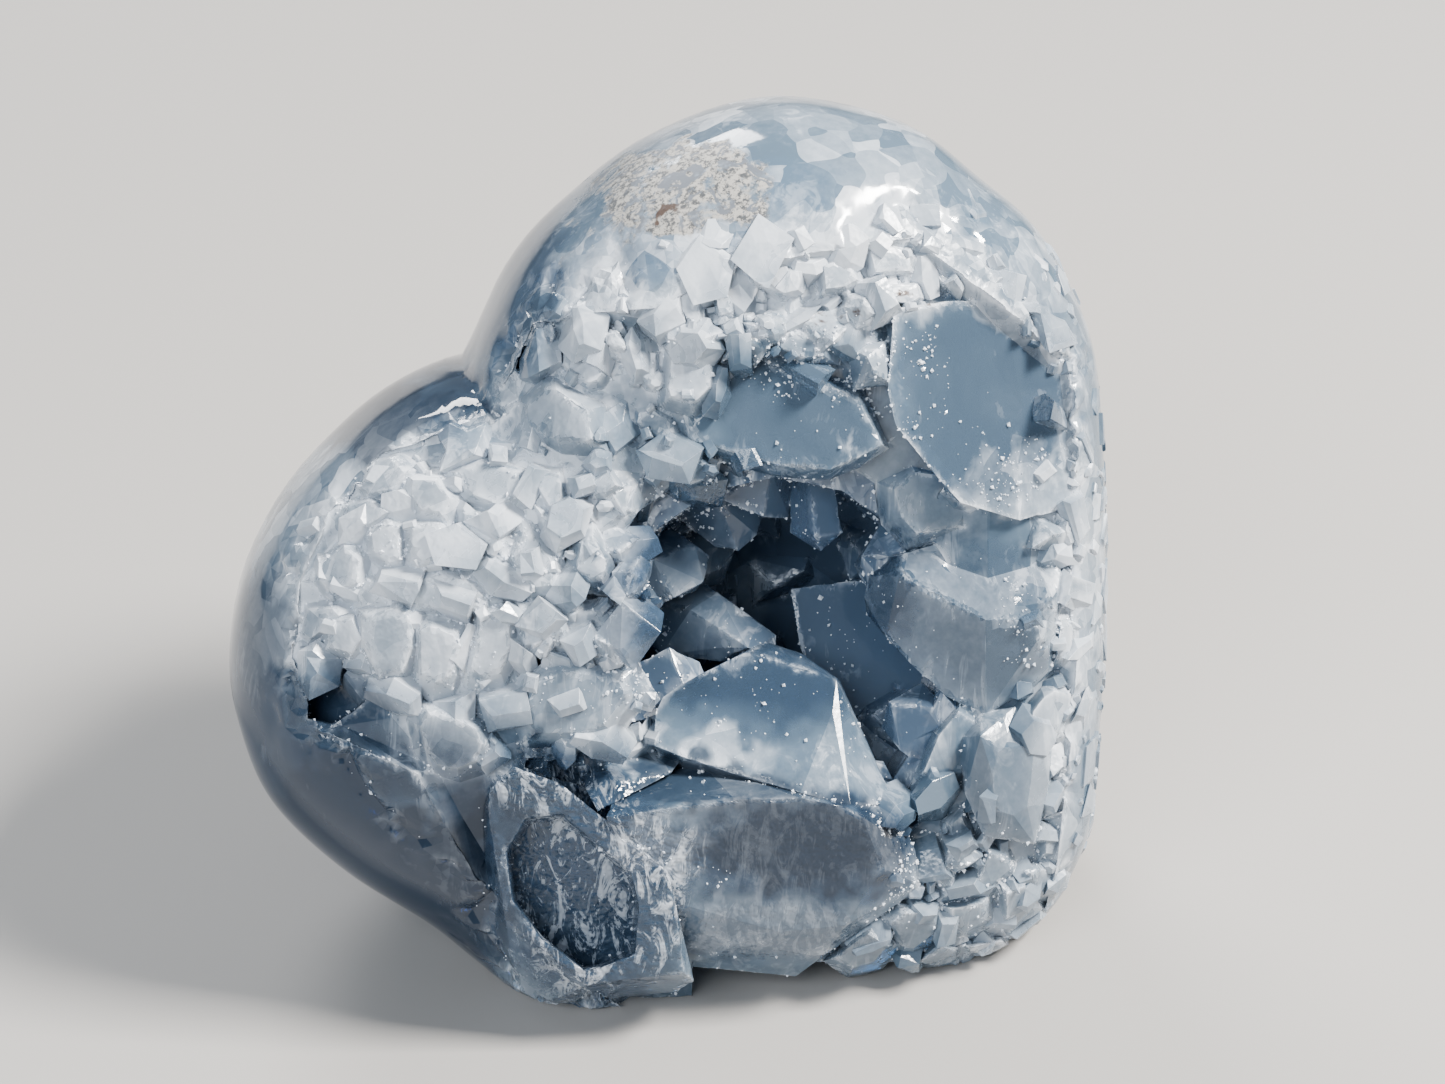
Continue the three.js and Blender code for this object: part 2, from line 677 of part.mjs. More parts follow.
    top: 3, edge: 4.8, share: 0.53, crest: [14, 20.2],
    corners: [
      [11.8, 21.8], [15.4, 23.3], [17, 21.3], [16.6, 17.8], [14, 16.9], [11.9, 18.9],
    ],
  },
  {
    top: 1.4, edge: 3.2, share: 0.48, crest: [0.9, 18.8],
    corners: [
      [-0.2, 17.9], [0.1, 19.2], [1.3, 19.9], [2, 18.4],
    ],
  },
  {
    top: 1.2, edge: 3.2, share: 0.48, crest: [3.8, 21.6],
    corners: [
      [1.7, 22], [6.2, 22.5], [4.5, 20.9], [2.5, 20.7],
    ],
  },
  {
    top: 2, edge: 3.6, share: 0.58, crest: [3, 20.1],
    corners: [
      [1.7, 20.9], [5, 21], [4.4, 19.6], [2.3, 19.3],
    ],
  },
  {
    top: 2, edge: 4.4, share: 0.58, crest: [-13.9, 17.7],
    corners: [
      [-17.2, 17.6], [-17, 19.4], [-15.8, 20.2], [-12, 19.9], [-11.2, 18.7], [-10.6, 16.3],
      [-11.7, 15.1], [-13.1, 14.6], [-14.4, 15.3], [-16.4, 16.8],
    ],
  },
  {
    top: 2.5, edge: 4.8, share: 0.53, crest: [-7.4, 17.8],
    corners: [
      [-8.9, 18.2], [-8.9, 16], [-7.7, 14.8], [-6.5, 14.6], [-6, 16.5], [-6, 19.8], [-8.2, 20.3],
    ],
  },
  {
    top: 2, edge: 4.8, share: 0.6, crest: [-3.2, 16.4],
    corners: [
      [-6.4, 19.9], [-6.4, 16.6], [-6.9, 14.8], [-6.5, 13.4], [-4.3, 12.8], [-2.9, 12.2],
      [-1.7, 13.1], [0, 14.9], [0.3, 17.8], [-0.8, 20],
    ],
  },
  {
    top: 4, edge: 6.4, share: 0.5, crest: [-6.7, 11.7],
    corners: [
      [-10, 14.2], [-7.2, 14.6], [-4.2, 12.8], [-3.2, 9], [-5.7, 9], [-7.6, 9.9], [-8.2, 11.6],
      [-10.4, 12.2],
    ],
  },
  {
    top: 5.5, edge: 8.5, share: 0.5, crest: [-8.2, 8],
    corners: [
      [-11, 10.4], [-7.2, 10.8], [-4.8, 8.7], [-5.2, 6], [-8.2, 4.6], [-11, 6.2],
    ],
  },
  {
    top: 5, edge: 8, share: 0.5, crest: [-3, 7.2],
    corners: [
      [-5.4, 9.2], [-2, 9.6], [0, 8], [-0.6, 5.4], [-3.4, 4.6], [-5.2, 6.2],
    ],
  },
  {
    top: 5.5, edge: 9, share: 0.5, crest: [-11, 3.7],
    corners: [
      [-12.6, 6.4], [-10, 6.2], [-8.6, 3.7], [-10.2, 0.8], [-12.8, 2],
    ],
  },
  {
    top: 6, edge: 9, share: 0.62, crest: [21.3, 3.7],
    corners: [
      [14.6, 6.2], [18.1, 9], [22.8, 8.4], [29.3, 2.7], [26.3, 0.2], [18.3, -1], [15.8, 1.7],
    ],
  },
  {
    top: 4.5, edge: 8.5, share: 0.6, crest: [22.8, -20.3],
    corners: [
      [18.3, -24.8], [20.8, -18.8], [24, -14.8], [27.8, -17], [26.8, -23.8], [22.3, -26.3],
    ],
  },
];

// Space under the lower front crystals, which stand a little off the floor.
const UNDERCUT = {
  back: -8,
  corners: [[-3, -42], [60, -42], [60, -60], [-3, -60]],
};

// How far toward the eye every cut runs, past the whole heart.
const CUT_REACH = 60;

// Dark pits of the face: corners round the mouth, and the sink of the floor under the skin.
const PITS = [
  // Dark window at the left edge, under the packed crystals.
  {
    sink: 4.5,
    corners: [
      [-41.9, -13.8], [-41.9, -18], [-39.2, -18.6], [-36.7, -17.3], [-35, -15.8], [-35.4, -12.6],
      [-37.2, -11.3], [-39.7, -12.6],
    ],
  },
  // Gap under the block in the middle of the left half.
  {
    sink: 6.5,
    corners: [
      [-20, -21.5], [-14.2, -21.1], [-13.6, -24.6], [-16.6, -23.8], [-20.2, -22.5],
    ],
  },
  // Gap above the round crystal at the cleft.
  {
    sink: 5.5,
    corners: [
      [-20.3, 19.7], [-18.8, 20], [-17, 18.4], [-16.6, 17.4], [-18.7, 17.2], [-20.2, 16.3],
      [-20.9, 17],
    ],
  },
  // Gap at that crystal's lower right.
  {
    sink: 8,
    corners: [
      [-10.9, 11.8], [-8.2, 11.6], [-8.9, 10], [-10.5, 10.1],
    ],
  },
  // Slit near the top.
  {
    sink: 4.5,
    corners: [
      [1.3, 27.8], [1.8, 27.6], [2.6, 25.2], [2, 24.9], [1.4, 26],
    ],
  },
];

// A pit's floor is smaller than its mouth, and its cutter starts above the skin.
const PIT_TAPER = 0.82;
const PIT_CLEARANCE = 8;

// Patches that small crystals fill: corners right and up, spacing, and sizes.
const PATCHES = [
  {
    seed: 11,
    pitch: 5,
    width: [3.2, 5.6],
    sink: [0.4, 3.4],
    corners: [
      [-37.7, 7.7], [-28.2, 10.2], [-22.2, 10.2], [-17.7, 8], [-11, 7.4], [-12.2, 4.2],
      [-11, -1.8], [-8.2, -5.8], [-8.2, -10.8], [-20.2, -12.3], [-23.2, -15.8], [-32.2, -14.8],
      [-42.2, -12.3], [-42.6, -9.8], [-42, -3.8], [-39.2, 2.2],
    ],
  },
  {
    seed: 37,
    pitch: 4.8,
    width: [3.0, 5.4],
    sink: [0.2, 3.4],
    corners: [
      [-16.2, 22.4], [-12.2, 22.8], [-5.8, 23], [-4.8, 25.8], [0.6, 26.8], [1.8, 28.2],
      [7.8, 27.8], [12.8, 29.4], [16.8, 30.6], [20, 29.7], [20.4, 28.2], [24.3, 27.8],
      [24.6, 24.2], [22.8, 24.2], [17.1, 23.4], [15.8, 17.2], [12.3, 16.2], [4.8, 17],
      [1.8, 18.2], [-2.2, 17.2], [-7.2, 19.7], [-16.2, 19.7],
    ],
  },
  {
    seed: 41,
    pitch: 4.2,
    width: [3.0, 5.0],
    sink: [0, 1.6],
    corners: [
      [33.3, 3], [37.3, 4.2], [37.8, -5.8], [37.6, -15.8], [37, -23.8], [36.3, -19.8],
      [36.3, -14], [33.3, -13], [33, -7.8],
    ],
  },
  {
    seed: 53,
    pitch: 4.8,
    width: [3.4, 6.0],
    sink: [0.5, 3.5],
    corners: [
      [-3.2, -44.3], [9.8, -41.6], [12.8, -38.8], [16.3, -36.3], [17.8, -34.8], [21.8, -35.8],
      [26.3, -30.8], [31.3, -30.6], [33, -23.8], [33.8, -20.3], [36.6, -20.3], [36.8, -24.8],
      [36, -31.8], [34.3, -36.8], [32.3, -40.3], [27.8, -43],
    ],
  },
];

// Seeded numbers from 0 to 1, the same at every build.
function dice(seed) {
  let state = seed >>> 0;
  return () => {
    state = (state + 0x6d2b79f5) >>> 0;
    let t = state;
    t = Math.imul(t ^ (t >>> 15), t | 1);
    t ^= t + Math.imul(t ^ (t >>> 7), t | 61);
    return ((t ^ (t >>> 14)) >>> 0) / 4294967296;
  };
}

function at(right, up, toward) {
  const share = 1 - toward / EYE_DISTANCE;
  return AIM.clone()
    .addScaledVector(SIGHT_RIGHT, right * share)
    .addScaledVector(SIGHT_UP, up * share)
    .addScaledVector(SIGHT_TOWARD, toward);
}

// Readings of a flat face's corners: the depth at the first one, and the two slopes, fix the
// plane that all of them lie in.
function onFace({ depth, slopes, corners }) {
  const [perRight, perUp] = slopes;
  const [firstRight, firstUp] = corners[0];
  const share = 1 - depth / EYE_DISTANCE;
  const level = depth - (perRight * firstRight + perUp * firstUp) * share;
  return corners.map(([right, up]) => {
    const slope = perRight * right + perUp * up;
    return [right, up, (level + slope) / (1 + slope / EYE_DISTANCE)];
  });
}

const outlineCurve = new THREE.CatmullRomCurve3(
  OUTLINE.map(([x, v]) => new THREE.Vector3(x, v, 0)),
  true,
  "centripetal",
);
const CURVE_STEPS = 12;
const outlineDense = outlineCurve.getPoints(OUTLINE.length * CURVE_STEPS);

// Distance from the centre to the outline along one direction in the heart's plane.
function outlineReach(angle) {
  const dx = Math.cos(angle);
  const dv = Math.sin(angle);
  let best = 0;
  for (let i = 1; i < outlineDense.length; i += 1) {
    const a = outlineDense[i - 1];
    const b = outlineDense[i];
    const sideA = dx * a.y - dv * a.x;
    const sideB = dx * b.y - dv * b.x;
    if (sideA * sideB > 0 || sideA === sideB) continue;
    const k = sideA / (sideA - sideB);
    const x = a.x + (b.x - a.x) * k;
    const v = a.y + (b.y - a.y) * k;
    best = Math.max(best, x * dx + v * dv);
  }
  return best;
}

const REACH_STEPS = 720;
const reaches = [];
for (let i = 0; i < REACH_STEPS; i += 1) {
  reaches.push(outlineReach((i / REACH_STEPS) * 2 * Math.PI));
}

function reachAt(angle) {
  const place = THREE.MathUtils.euclideanModulo(angle / (2 * Math.PI), 1) * REACH_STEPS;
  const i = Math.floor(place);
  const next = (i + 1) % REACH_STEPS;
  return THREE.MathUtils.lerp(reaches[i % REACH_STEPS], reaches[next], place - i);
}

// Under 1 inside the polished heart and 1 on its skin.
function fullness(point) {
  const from = point.clone().sub(CENTRE);
  const v = from.dot(FACE_UP);
  const n = from.dot(FACE_OUT);
  const swell = n > 0 ? FRONT_SWELL : BACK_SWELL;
  const across = Math.hypot(from.x, v) / reachAt(Math.atan2(v, from.x));
  return Math.pow(across, SWELL_POWER) + Math.pow(Math.abs(n) / swell, SWELL_POWER);
}

// Depth of the front skin where the eye's ray through one reading meets it, found by halving.
const SKIN_SEARCH = { deep: -6, near: 50, halvings: 30 };
function skinDepth(right, up) {
  let inside = SKIN_SEARCH.deep;
  let outside = SKIN_SEARCH.near;
  for (let i = 0; i < SKIN_SEARCH.halvings; i += 1) {
    const middle = (inside + outside) / 2;
    if (fullness(at(right, up, middle)) < 1) inside = middle;
    else outside = middle;
  }
  return inside;
}

function skinNormal(point) {
  const step = 0.5;
  const base = fullness(point);
  const slope = ["x", "y", "z"].map((axis) => {
    const beside = point.clone();
    beside[axis] += step;
    return fullness(beside) - base;
  });
  return new THREE.Vector3(...slope).normalize();
}

function solidFrom(geometry) {
  const bare = geometry.clone();
  bare.deleteAttribute("normal");
  bare.deleteAttribute("uv");
  const merged = mergeVertices(bare, 1e-4);
  return new wasm.Manifold(
    new wasm.Mesh({
      numProp: 3,
      vertProperties: new Float32Array(merged.attributes.position.array),
      triVerts: new Uint32Array(merged.index.array),
    }),
  );
}

const hullOf = (points) => solidFrom(new ConvexGeometry(points));
const joined = (solids) => wasm.Manifold.union(solids);

// A convex crystal whose every face is moved out by the crust's gap. Each face plane has a
// dual point, and each face of the dual points' hull has a corner of the moved crystal.
function swollen(points) {
  const middle = points
    .reduce((sum, p) => sum.add(p), new THREE.Vector3())
    .divideScalar(points.length);
  const facesOf = (list) => new ConvexHull().setFromPoints(list).faces;
  const duals = facesOf(points.map((p) => p.clone().sub(middle))).map((face) =>
    face.normal.clone().divideScalar(face.constant + CRUST_GAP),
  );
  const corners = facesOf(duals).map((face) =>
    face.normal.clone().divideScalar(face.constant).add(middle),
  );
  return hullOf(corners);
}

// Rings of points, each ring with the same count, closed by a point at each end.
function ringSolid(rings, first, last) {
  const count = rings[0].length;
  const points = [...rings.flat(), first, last];
  const index = [];
  const start = rings.length * count;
  const end = start + 1;
  for (let i = 0; i < count; i += 1) {
    const j = (i + 1) % count;
    index.push(start, j, i);
    for (let r = 0; r + 1 < rings.length; r += 1) {
      const a = r * count;
      const b = a + count;
      index.push(a + i, a + j, b + j, a + i, b + j, b + i);
    }
    const top = (rings.length - 1) * count;
    index.push(end, top + i, top + j);
  }
  const geometry = new THREE.BufferGeometry();
  geometry.setAttribute(
    "position",
    new THREE.Float32BufferAttribute(points.flatMap((p) => p.toArray()), 3),
  );
  geometry.setIndex(index);
  return solidFrom(geometry);
}

// The polished heart; inset draws its skin inward.
const PILLOW_ROWS = [0, 5, 12, 21, 32, 45, 60, 76];
function pillow(inset) {
  const place = (x, v, n) => {
    const p = CENTRE.clone().addScaledVector(FACE_UP, v).addScaledVector(FACE_OUT, n);
    p.x += x;
    return p;
  };
  const start = Math.atan2(OUTLINE[0][1], OUTLINE[0][0]);
  const power = 2 / SWELL_POWER;
  const rows = [...PILLOW_ROWS.slice(1).reverse().map((d) => -d), ...PILLOW_ROWS];
  const rings = rows.map((row) => {
    const bend = radians(Math.abs(row));
    const share = Math.pow(Math.cos(bend), power);
    const swell = (row > 0 ? FRONT_SWELL : BACK_SWELL) - inset;
    const n = Math.sign(row) * swell * Math.pow(Math.sin(bend), power);
    return Array.from({ length: OUTLINE_STEPS }, (_, i) => {
      const angle = start + (i / OUTLINE_STEPS) * 2 * Math.PI;
      const reach = share * (reachAt(angle) - inset);
      return place(reach * Math.cos(angle), reach * Math.sin(angle), n);
    });
  });
  return ringSolid(rings, place(0, 0, inset - BACK_SWELL), place(0, 0, FRONT_SWELL - inset));
}

// A bowl that narrows from the mouth to the hollow's floor; inset draws it inward.
const HOLLOW_ROWS = [0.3, 0.55, 0.75, 0.88, 0.96, 1];
function bowlDepth(row) {
  return HOLLOW_FLOOR + HOLLOW_WALL * (1 - Math.sqrt(1 - row * row));
}

function bowl(inset) {
  const spot = (row, angle, toward) => {
    const right = HOLLOW_MIDDLE[0] + (HOLLOW_RADII[0] - inset) * row * Math.cos(angle);
    const up = HOLLOW_MIDDLE[1] + (HOLLOW_RADII[1] - inset) * row * Math.sin(angle);
    return at(right, up, toward);
  };
  const ring = (row, toward) =>
    Array.from({ length: HOLLOW_STEPS }, (_, i) =>
      spot(row, (i / HOLLOW_STEPS) * 2 * Math.PI, toward),
    );
  const rings = HOLLOW_ROWS.map((row) => ring(row, bowlDepth(row) + inset));
  rings.push(ring(1, HOLLOW_MOUTH));
  return ringSolid(rings, spot(0, 0, HOLLOW_FLOOR + inset), spot(0, 0, HOLLOW_MOUTH));
}

// Everything in front of the natural surface, which starts at the polished edge and sinks
// under the skin toward the hollow. Each row has the share of the way out to that edge, then
// the sink, and the sink on the left, where the crystals stand packed right up to the hollow.
const NATURAL_STEPS = 40;
const NATURAL_SINK = [
  [0.3, 10.5, 10],
  [0.55, 7, 3.4],
  [0.7, 4.8, 2.6],
  [0.84, 3.6, 2.2],
  [0.95, 2.8, 1.8],
  [1, 0.6, 0.5],
];
const RAISED_TOWARD = radians(168);
const RAISED_FULL = radians(30);
const RAISED_END = radians(52);
function naturalFront() {
  const [midRight, midUp] = HOLLOW_MIDDLE;
  const edgeAt = (angle) => {
    const dr = Math.cos(angle);
    const du = Math.sin(angle);
    let far = 0;
    NATURAL_EDGE.forEach(([br, bu], i) => {
      const [ar, au] = NATURAL_EDGE.at(i - 1);
      const sideA = dr * (au - midUp) - du * (ar - midRight);
      const sideB = dr * (bu - midUp) - du * (br - midRight);
      if (sideA * sideB > 0 || sideA === sideB) return;
      const k = sideA / (sideA - sideB);
      const r = ar + (br - ar) * k - midRight;
      const u = au + (bu - au) * k - midUp;
      far = Math.max(far, r * dr + u * du);
    });
    return [far * dr, far * du];
  };
  const spokes = Array.from({ length: NATURAL_STEPS }, (_, i) => {
    const angle = (i / NATURAL_STEPS) * 2 * Math.PI;
    const aside = Math.abs(angle - RAISED_TOWARD);
    const raised = 1 - THREE.MathUtils.smoothstep(aside, RAISED_FULL, RAISED_END);
    return [...edgeAt(angle), raised];
  });
  const ring = (share, toward) =>
    spokes.map(([dr, du, raised]) => {
      const r = midRight + dr * share;
      const u = midUp + du * share;
      return at(r, u, toward(r, u, raised));
    });
  const rings = NATURAL_SINK.map(([share, sink, left]) =>
    ring(share, (r, u, raised) => skinDepth(r, u) - THREE.MathUtils.lerp(sink, left, raised)),
  );
  rings.push(ring(1, () => CUT_REACH));
  const [, firstSink] = NATURAL_SINK[0];
  const bottom = at(midRight, midUp, skinDepth(midRight, midUp) - firstSink);
  return ringSolid(rings, bottom, at(midRight, midUp, CUT_REACH));
}

// A straight-sided cutter through readings, open toward the eye from its back.
function cutter({ back, corners }) {
  const flat = corners.map(([right, up]) => new THREE.Vector2(right, up));
  const turned = THREE.ShapeUtils.isClockWise(flat) ? flat.reverse() : flat;
  const caps = THREE.ShapeUtils.triangulateShape(turned, []);
  const points = [
    ...turned.map((p) => at(p.x, p.y, back)),
    ...turned.map((p) => at(p.x, p.y, CUT_REACH)),
  ];
  const count = turned.length;
  const index = [];
  for (const [a, b, c] of caps) {
    index.push(a, c, b, a + count, b + count, c + count);
  }
  for (let i = 0; i < count; i += 1) {
    const j = (i + 1) % count;
    index.push(i, j, j + count, i, j + count, i + count);
  }
  const geometry = new THREE.BufferGeometry();
  geometry.setAttribute(
    "position",
    new THREE.Float32BufferAttribute(points.flatMap((p) => p.toArray()), 3),
  );
  geometry.setIndex(index);
  return solidFrom(geometry);
}

// One blocky crystal with a roof-shaped end, standing along out from its root. Its section
// and the ridge of its roof are shares of half its width and thickness.
const SECTIONS = {
  4: [[1, 0.9], [-0.9, 1], [-1, -0.9], [0.9, -1]],
  6: [[1, 0.25], [0.55, 1], [-0.6, 1], [-1, -0.2], [-0.5, -1], [0.6, -1]],
};
const RIDGE = [[0.42, 0.1], [-0.38, -0.12]];
const FOOT_SHARE = 0.75;
const ROOF_SHARE = 0.42;
const SHOULDER_SLANT = 0.3;
function crystalPoints({ root, out, length, width, thickness, roll, sides }) {
  const across = new THREE.Vector3(Math.cos(roll), Math.sin(roll), 0);
  const first = across.addScaledVector(out, -across.dot(out)).normalize();
  const second = new THREE.Vector3().crossVectors(out, first);
  const place = (a, b, h) =>
    root
      .clone()
      .addScaledVector(first, a * width * 0.5)
      .addScaledVector(second, b * thickness * 0.5)
      .addScaledVector(out, h);
  const shoulder = length - Math.min(thickness, width) * ROOF_SHARE;
  const section = SECTIONS[sides];
  return [
    ...section.map(([a, b]) => place(a * FOOT_SHARE, b * FOOT_SHARE, 0)),
    ...section.map(([a, b]) => place(a, b, shoulder - Math.abs(a) * SHOULDER_SLANT)),
    ...RIDGE.map(([a, b]) => place(a, b, length)),
  ];
}

// Points of one middle-sized crystal: its foot, its flat top, and a root in the stone.
const KNOB_ROOT = 9;
function knobPoints({ top, edge, share, crest, corners }) {
  const [crestRight, crestUp] = crest;
  const crestDepth = skinDepth(crestRight, crestUp);
  const points = corners.map(([r, u]) => at(r, u, skinDepth(r, u) - edge));
  for (const [r, u] of corners) {
    const right = crestRight + (r - crestRight) * share;
    const up = crestUp + (u - crestUp) * share;
    points.push(at(right, up, skinDepth(right, up) - top));
  }
  points.push(at(crestRight, crestUp, crestDepth - KNOB_ROOT));
  return points;
}

function insidePatch(corners, right, up) {
  let inside = false;
  for (let i = 0, j = corners.length - 1; i < corners.length; j = i, i += 1) {
    const [ar, au] = corners[i];
    const [br, bu] = corners[j];
    if (au > up !== bu > up && right < ((br - ar) * (up - au)) / (bu - au) + ar) {
      inside = !inside;
    }
  }
  return inside;
}

const between = (roll, [low, high]) => low + (high - low) * roll();
const anyWay = (roll) => new THREE.Vector3(roll() - 0.5, roll() - 0.5, roll() - 0.5);

// Small crystals that crowd one patch, rooted under the skin and reaching about up to it.
const PATCH_ROOT = 6.5;
const PATCH_TILT = 1;
const PATCH_SHIFT = 0.6;
const PATCH_ROW = 0.87;
const PATCH_SLIM = [0.6, 1];
const PATCH_BLOCKY = 0.7;
function patchCrystals({ seed, pitch, width, sink, corners }) {
  const roll = dice(seed);
  const box = new THREE.Box2().setFromPoints(corners.map(([r, u]) => new THREE.Vector2(r, u)));
  const made = [];
  let odd = false;
  for (let up = box.min.y; up <= box.max.y; up += pitch * PATCH_ROW) {
    odd = !odd;
    for (let right = box.min.x; right <= box.max.x; right += pitch) {
      const r = right + (odd ? pitch / 2 : 0) + (roll() - 0.5) * pitch * PATCH_SHIFT;
      const u = up + (roll() - 0.5) * pitch * PATCH_SHIFT;
      const size = between(roll, width);
      const below = between(roll, sink);
      const tilt = anyWay(roll).multiplyScalar(PATCH_TILT);
      const twist = roll() * Math.PI;
      const sides = roll() < PATCH_BLOCKY ? 4 : 6;
      const slim = between(roll, PATCH_SLIM);
      if (!insidePatch(corners, r, u)) continue;
      const skinPoint = at(r, u, skinDepth(r, u));
      const out = skinNormal(skinPoint).add(tilt).normalize();
      made.push(
        crystalPoints({
          root: skinPoint.addScaledVector(out, -PATCH_ROOT),
          out,
          length: PATCH_ROOT - below,
          width: size,
          thickness: size * slim,
          roll: twist,
          sides,
        }),
      );
    }
  }
  return made;
}

// Crystals that stand all over the hollow's lining and lean in toward a place at its mouth.
// The last row climbs the wall.
const LINING = {
  seed: 71,
  rows: [0.1, 0.5, 0.78, 0.95],
  counts: [1, 6, 9, 12],
  shift: 0.06,
  climb: 12,
  mouth: 14,
  tilt: 0.9,
  length: [5, 10],
  width: [5, 10],
  slim: 0.7,
  spread: 0.7,
  blocky: 0.5,
};
function liningCrystals() {
  const roll = dice(LINING.seed);
  const made = [];
  const [middleRight, middleUp] = HOLLOW_MIDDLE;
  LINING.rows.forEach((row, k) => {
    for (let i = 0; i < LINING.counts[k]; i += 1) {
      const angle = ((i + roll() * LINING.spread) / LINING.counts[k]) * 2 * Math.PI;
      const reach = row - LINING.shift * roll();
      const right = middleRight + HOLLOW_RADII[0] * reach * Math.cos(angle);
      const up = middleUp + HOLLOW_RADII[1] * reach * Math.sin(angle);
      const climb = k === LINING.rows.length - 1 ? roll() * LINING.climb : 0;
      const root = at(right, up, bowlDepth(reach) + climb);
      const out = at(middleRight, middleUp, LINING.mouth).sub(root).normalize();
      out.addScaledVector(anyWay(roll), LINING.tilt).normalize();
      const width = between(roll, LINING.width);
      const length = between(roll, LINING.length);
      const sides = roll() < LINING.blocky ? 4 : 6;
      const thickness = width * LINING.slim;
      made.push(
        crystalPoints({ root, out, length, width, thickness, roll: roll() * Math.PI, sides }),
      );
    }
  });
  return made;
}

const readings = (list) => list.map(([right, up, toward]) => at(right, up, toward));
const bigCrystal = ({ faces, rest }) => readings([...faces.flatMap(onFace), ...rest]);

function pitSolid({ sink, corners }) {
  const middle = [0, 1].map((axis) => corners.reduce((sum, c) => sum + c[axis], 0) / corners.length);
  const inward = (value, axis) => middle[axis] + (value - middle[axis]) * PIT_TAPER;
  return hullOf(
    corners.flatMap(([right, up]) => {
      const [r, u] = [inward(right, 0), inward(up, 1)];
      const mouth = skinDepth(right, up) + PIT_CLEARANCE;
      return [at(right, up, mouth), at(r, u, skinDepth(r, u) - sink)];
    }),
  );
}

function hopperSolid() {
  const { middle, taper, clearance, sink } = HOPPER;
  const mouth = onFace(HOPPER);
  const inward = (value, axis) => middle[axis] + (value - middle[axis]) * taper;
  return hullOf(
    readings([
      ...mouth.map(([right, up, toward]) => [right, up, toward + clearance]),
      ...mouth.map(([right, up, toward]) => [inward(right, 0), inward(up, 1), toward - sink]),
    ]),
  );
}

const knobs = KNOBS.map(knobPoints);
const cutCrystals = CUT_CRYSTALS.map(bigCrystal);
const freeCrystals = FREE_CRYSTALS.map(bigCrystal);
const smallCrystals = PATCHES.flatMap(patchCrystals);

const skin = pillow(0);
const naturalZone = naturalFront();
const pits = joined(PITS.map(pitSolid));

let body = skin.subtract(naturalZone).subtract(cutter(UNDERCUT)).subtract(bowl(0));
const rimCrystals = [...cutCrystals, ...knobs, ...smallCrystals];
const cut = joined(rimCrystals.map(hullOf)).intersect(skin);
body = joined([body, cut]).subtract(pits);
body = joined([body, ...freeCrystals.map(hullOf)]).subtract(hopperSolid());
body = body.trimByPlane([0, 0, 1], 0);

const biggest = (solid) => {
  const pieces = solid.decompose();
  return pieces.reduce((a, b) => (b.volume() > a.volume() ? b : a));
};
body = biggest(biggest(body).asOriginal().simplify(SMOOTHING));

const liningSpace = bowl(CRUST_GAP);
const lining = liningSpace
  .subtract(bowl(CRUST_GAP + CRUST_THICKNESS))
  .trimByPlane(SIGHT_TOWARD.clone().negate().toArray(), -SIGHT_TOWARD.dot(at(0, 0, CRUST_EDGE)));
const crystalsInside = [...DEEP_CRYSTALS.map(bigCrystal), ...liningCrystals()];
let crust = joined([lining, ...crystalsInside.map(hullOf)]);
crust = crust.intersect(liningSpace).subtract(naturalZone);
crust = crust.subtract(joined([...rimCrystals, ...freeCrystals].map(swollen)));
crust = biggest(biggest(crust).asOriginal().simplify(SMOOTHING));

function meshFrom(solid, name, material) {
  const made = solid.getMesh();
  const positions = new Float32Array(made.numVert * 3);
  for (let i = 0; i < made.numVert; i += 1) {
    const from = i * made.numProp;
    positions.set(made.vertProperties.subarray(from, from + 3), i * 3);
  }
  const geometry = new THREE.BufferGeometry();
  geometry.setAttribute("position", new THREE.BufferAttribute(positions, 3));
  geometry.setIndex(new THREE.BufferAttribute(made.triVerts, 1));
  const mesh = new THREE.Mesh(geometry, material);
  mesh.name = name;
  return mesh;
}

const root = new THREE.Group();
root.add(
  meshFrom(
    body,
    "heart_body",
    new THREE.MeshStandardMaterial({ color: 0xb4c6d8, roughness: 0.15, metalness: 0 }),
  ),
  meshFrom(
    crust,
    "crust",
    new THREE.MeshStandardMaterial({ color: 0x5c83ad, roughness: 0.2, metalness: 0 }),
  ),
);

// Stand the heart on the floor with the middle of its footprint at the origin.
const whole = new THREE.Box3().setFromObject(root);
const middle = whole.getCenter(new THREE.Vector3());
root.position.set(-middle.x, -middle.y, -whole.min.z);

export default root;
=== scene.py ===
"""A polished celestite geode heart: its stone, its crystals and the light it is seen in."""

import itertools
import math

import bmesh
import bpy
import numpy as np
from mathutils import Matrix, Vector
from mathutils.bvhtree import BVHTree


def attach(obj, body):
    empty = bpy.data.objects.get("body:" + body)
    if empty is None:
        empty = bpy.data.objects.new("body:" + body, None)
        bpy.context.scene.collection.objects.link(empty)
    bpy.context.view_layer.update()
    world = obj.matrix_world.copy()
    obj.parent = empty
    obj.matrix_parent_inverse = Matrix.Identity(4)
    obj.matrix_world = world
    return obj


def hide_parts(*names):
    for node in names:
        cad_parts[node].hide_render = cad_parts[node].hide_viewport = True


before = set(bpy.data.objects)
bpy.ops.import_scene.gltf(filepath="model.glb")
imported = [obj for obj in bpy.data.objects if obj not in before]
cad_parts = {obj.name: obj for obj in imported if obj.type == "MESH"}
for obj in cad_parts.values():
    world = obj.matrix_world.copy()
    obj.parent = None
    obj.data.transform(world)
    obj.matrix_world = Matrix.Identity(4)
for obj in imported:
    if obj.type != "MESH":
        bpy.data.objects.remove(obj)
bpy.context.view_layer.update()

MM = 0.001

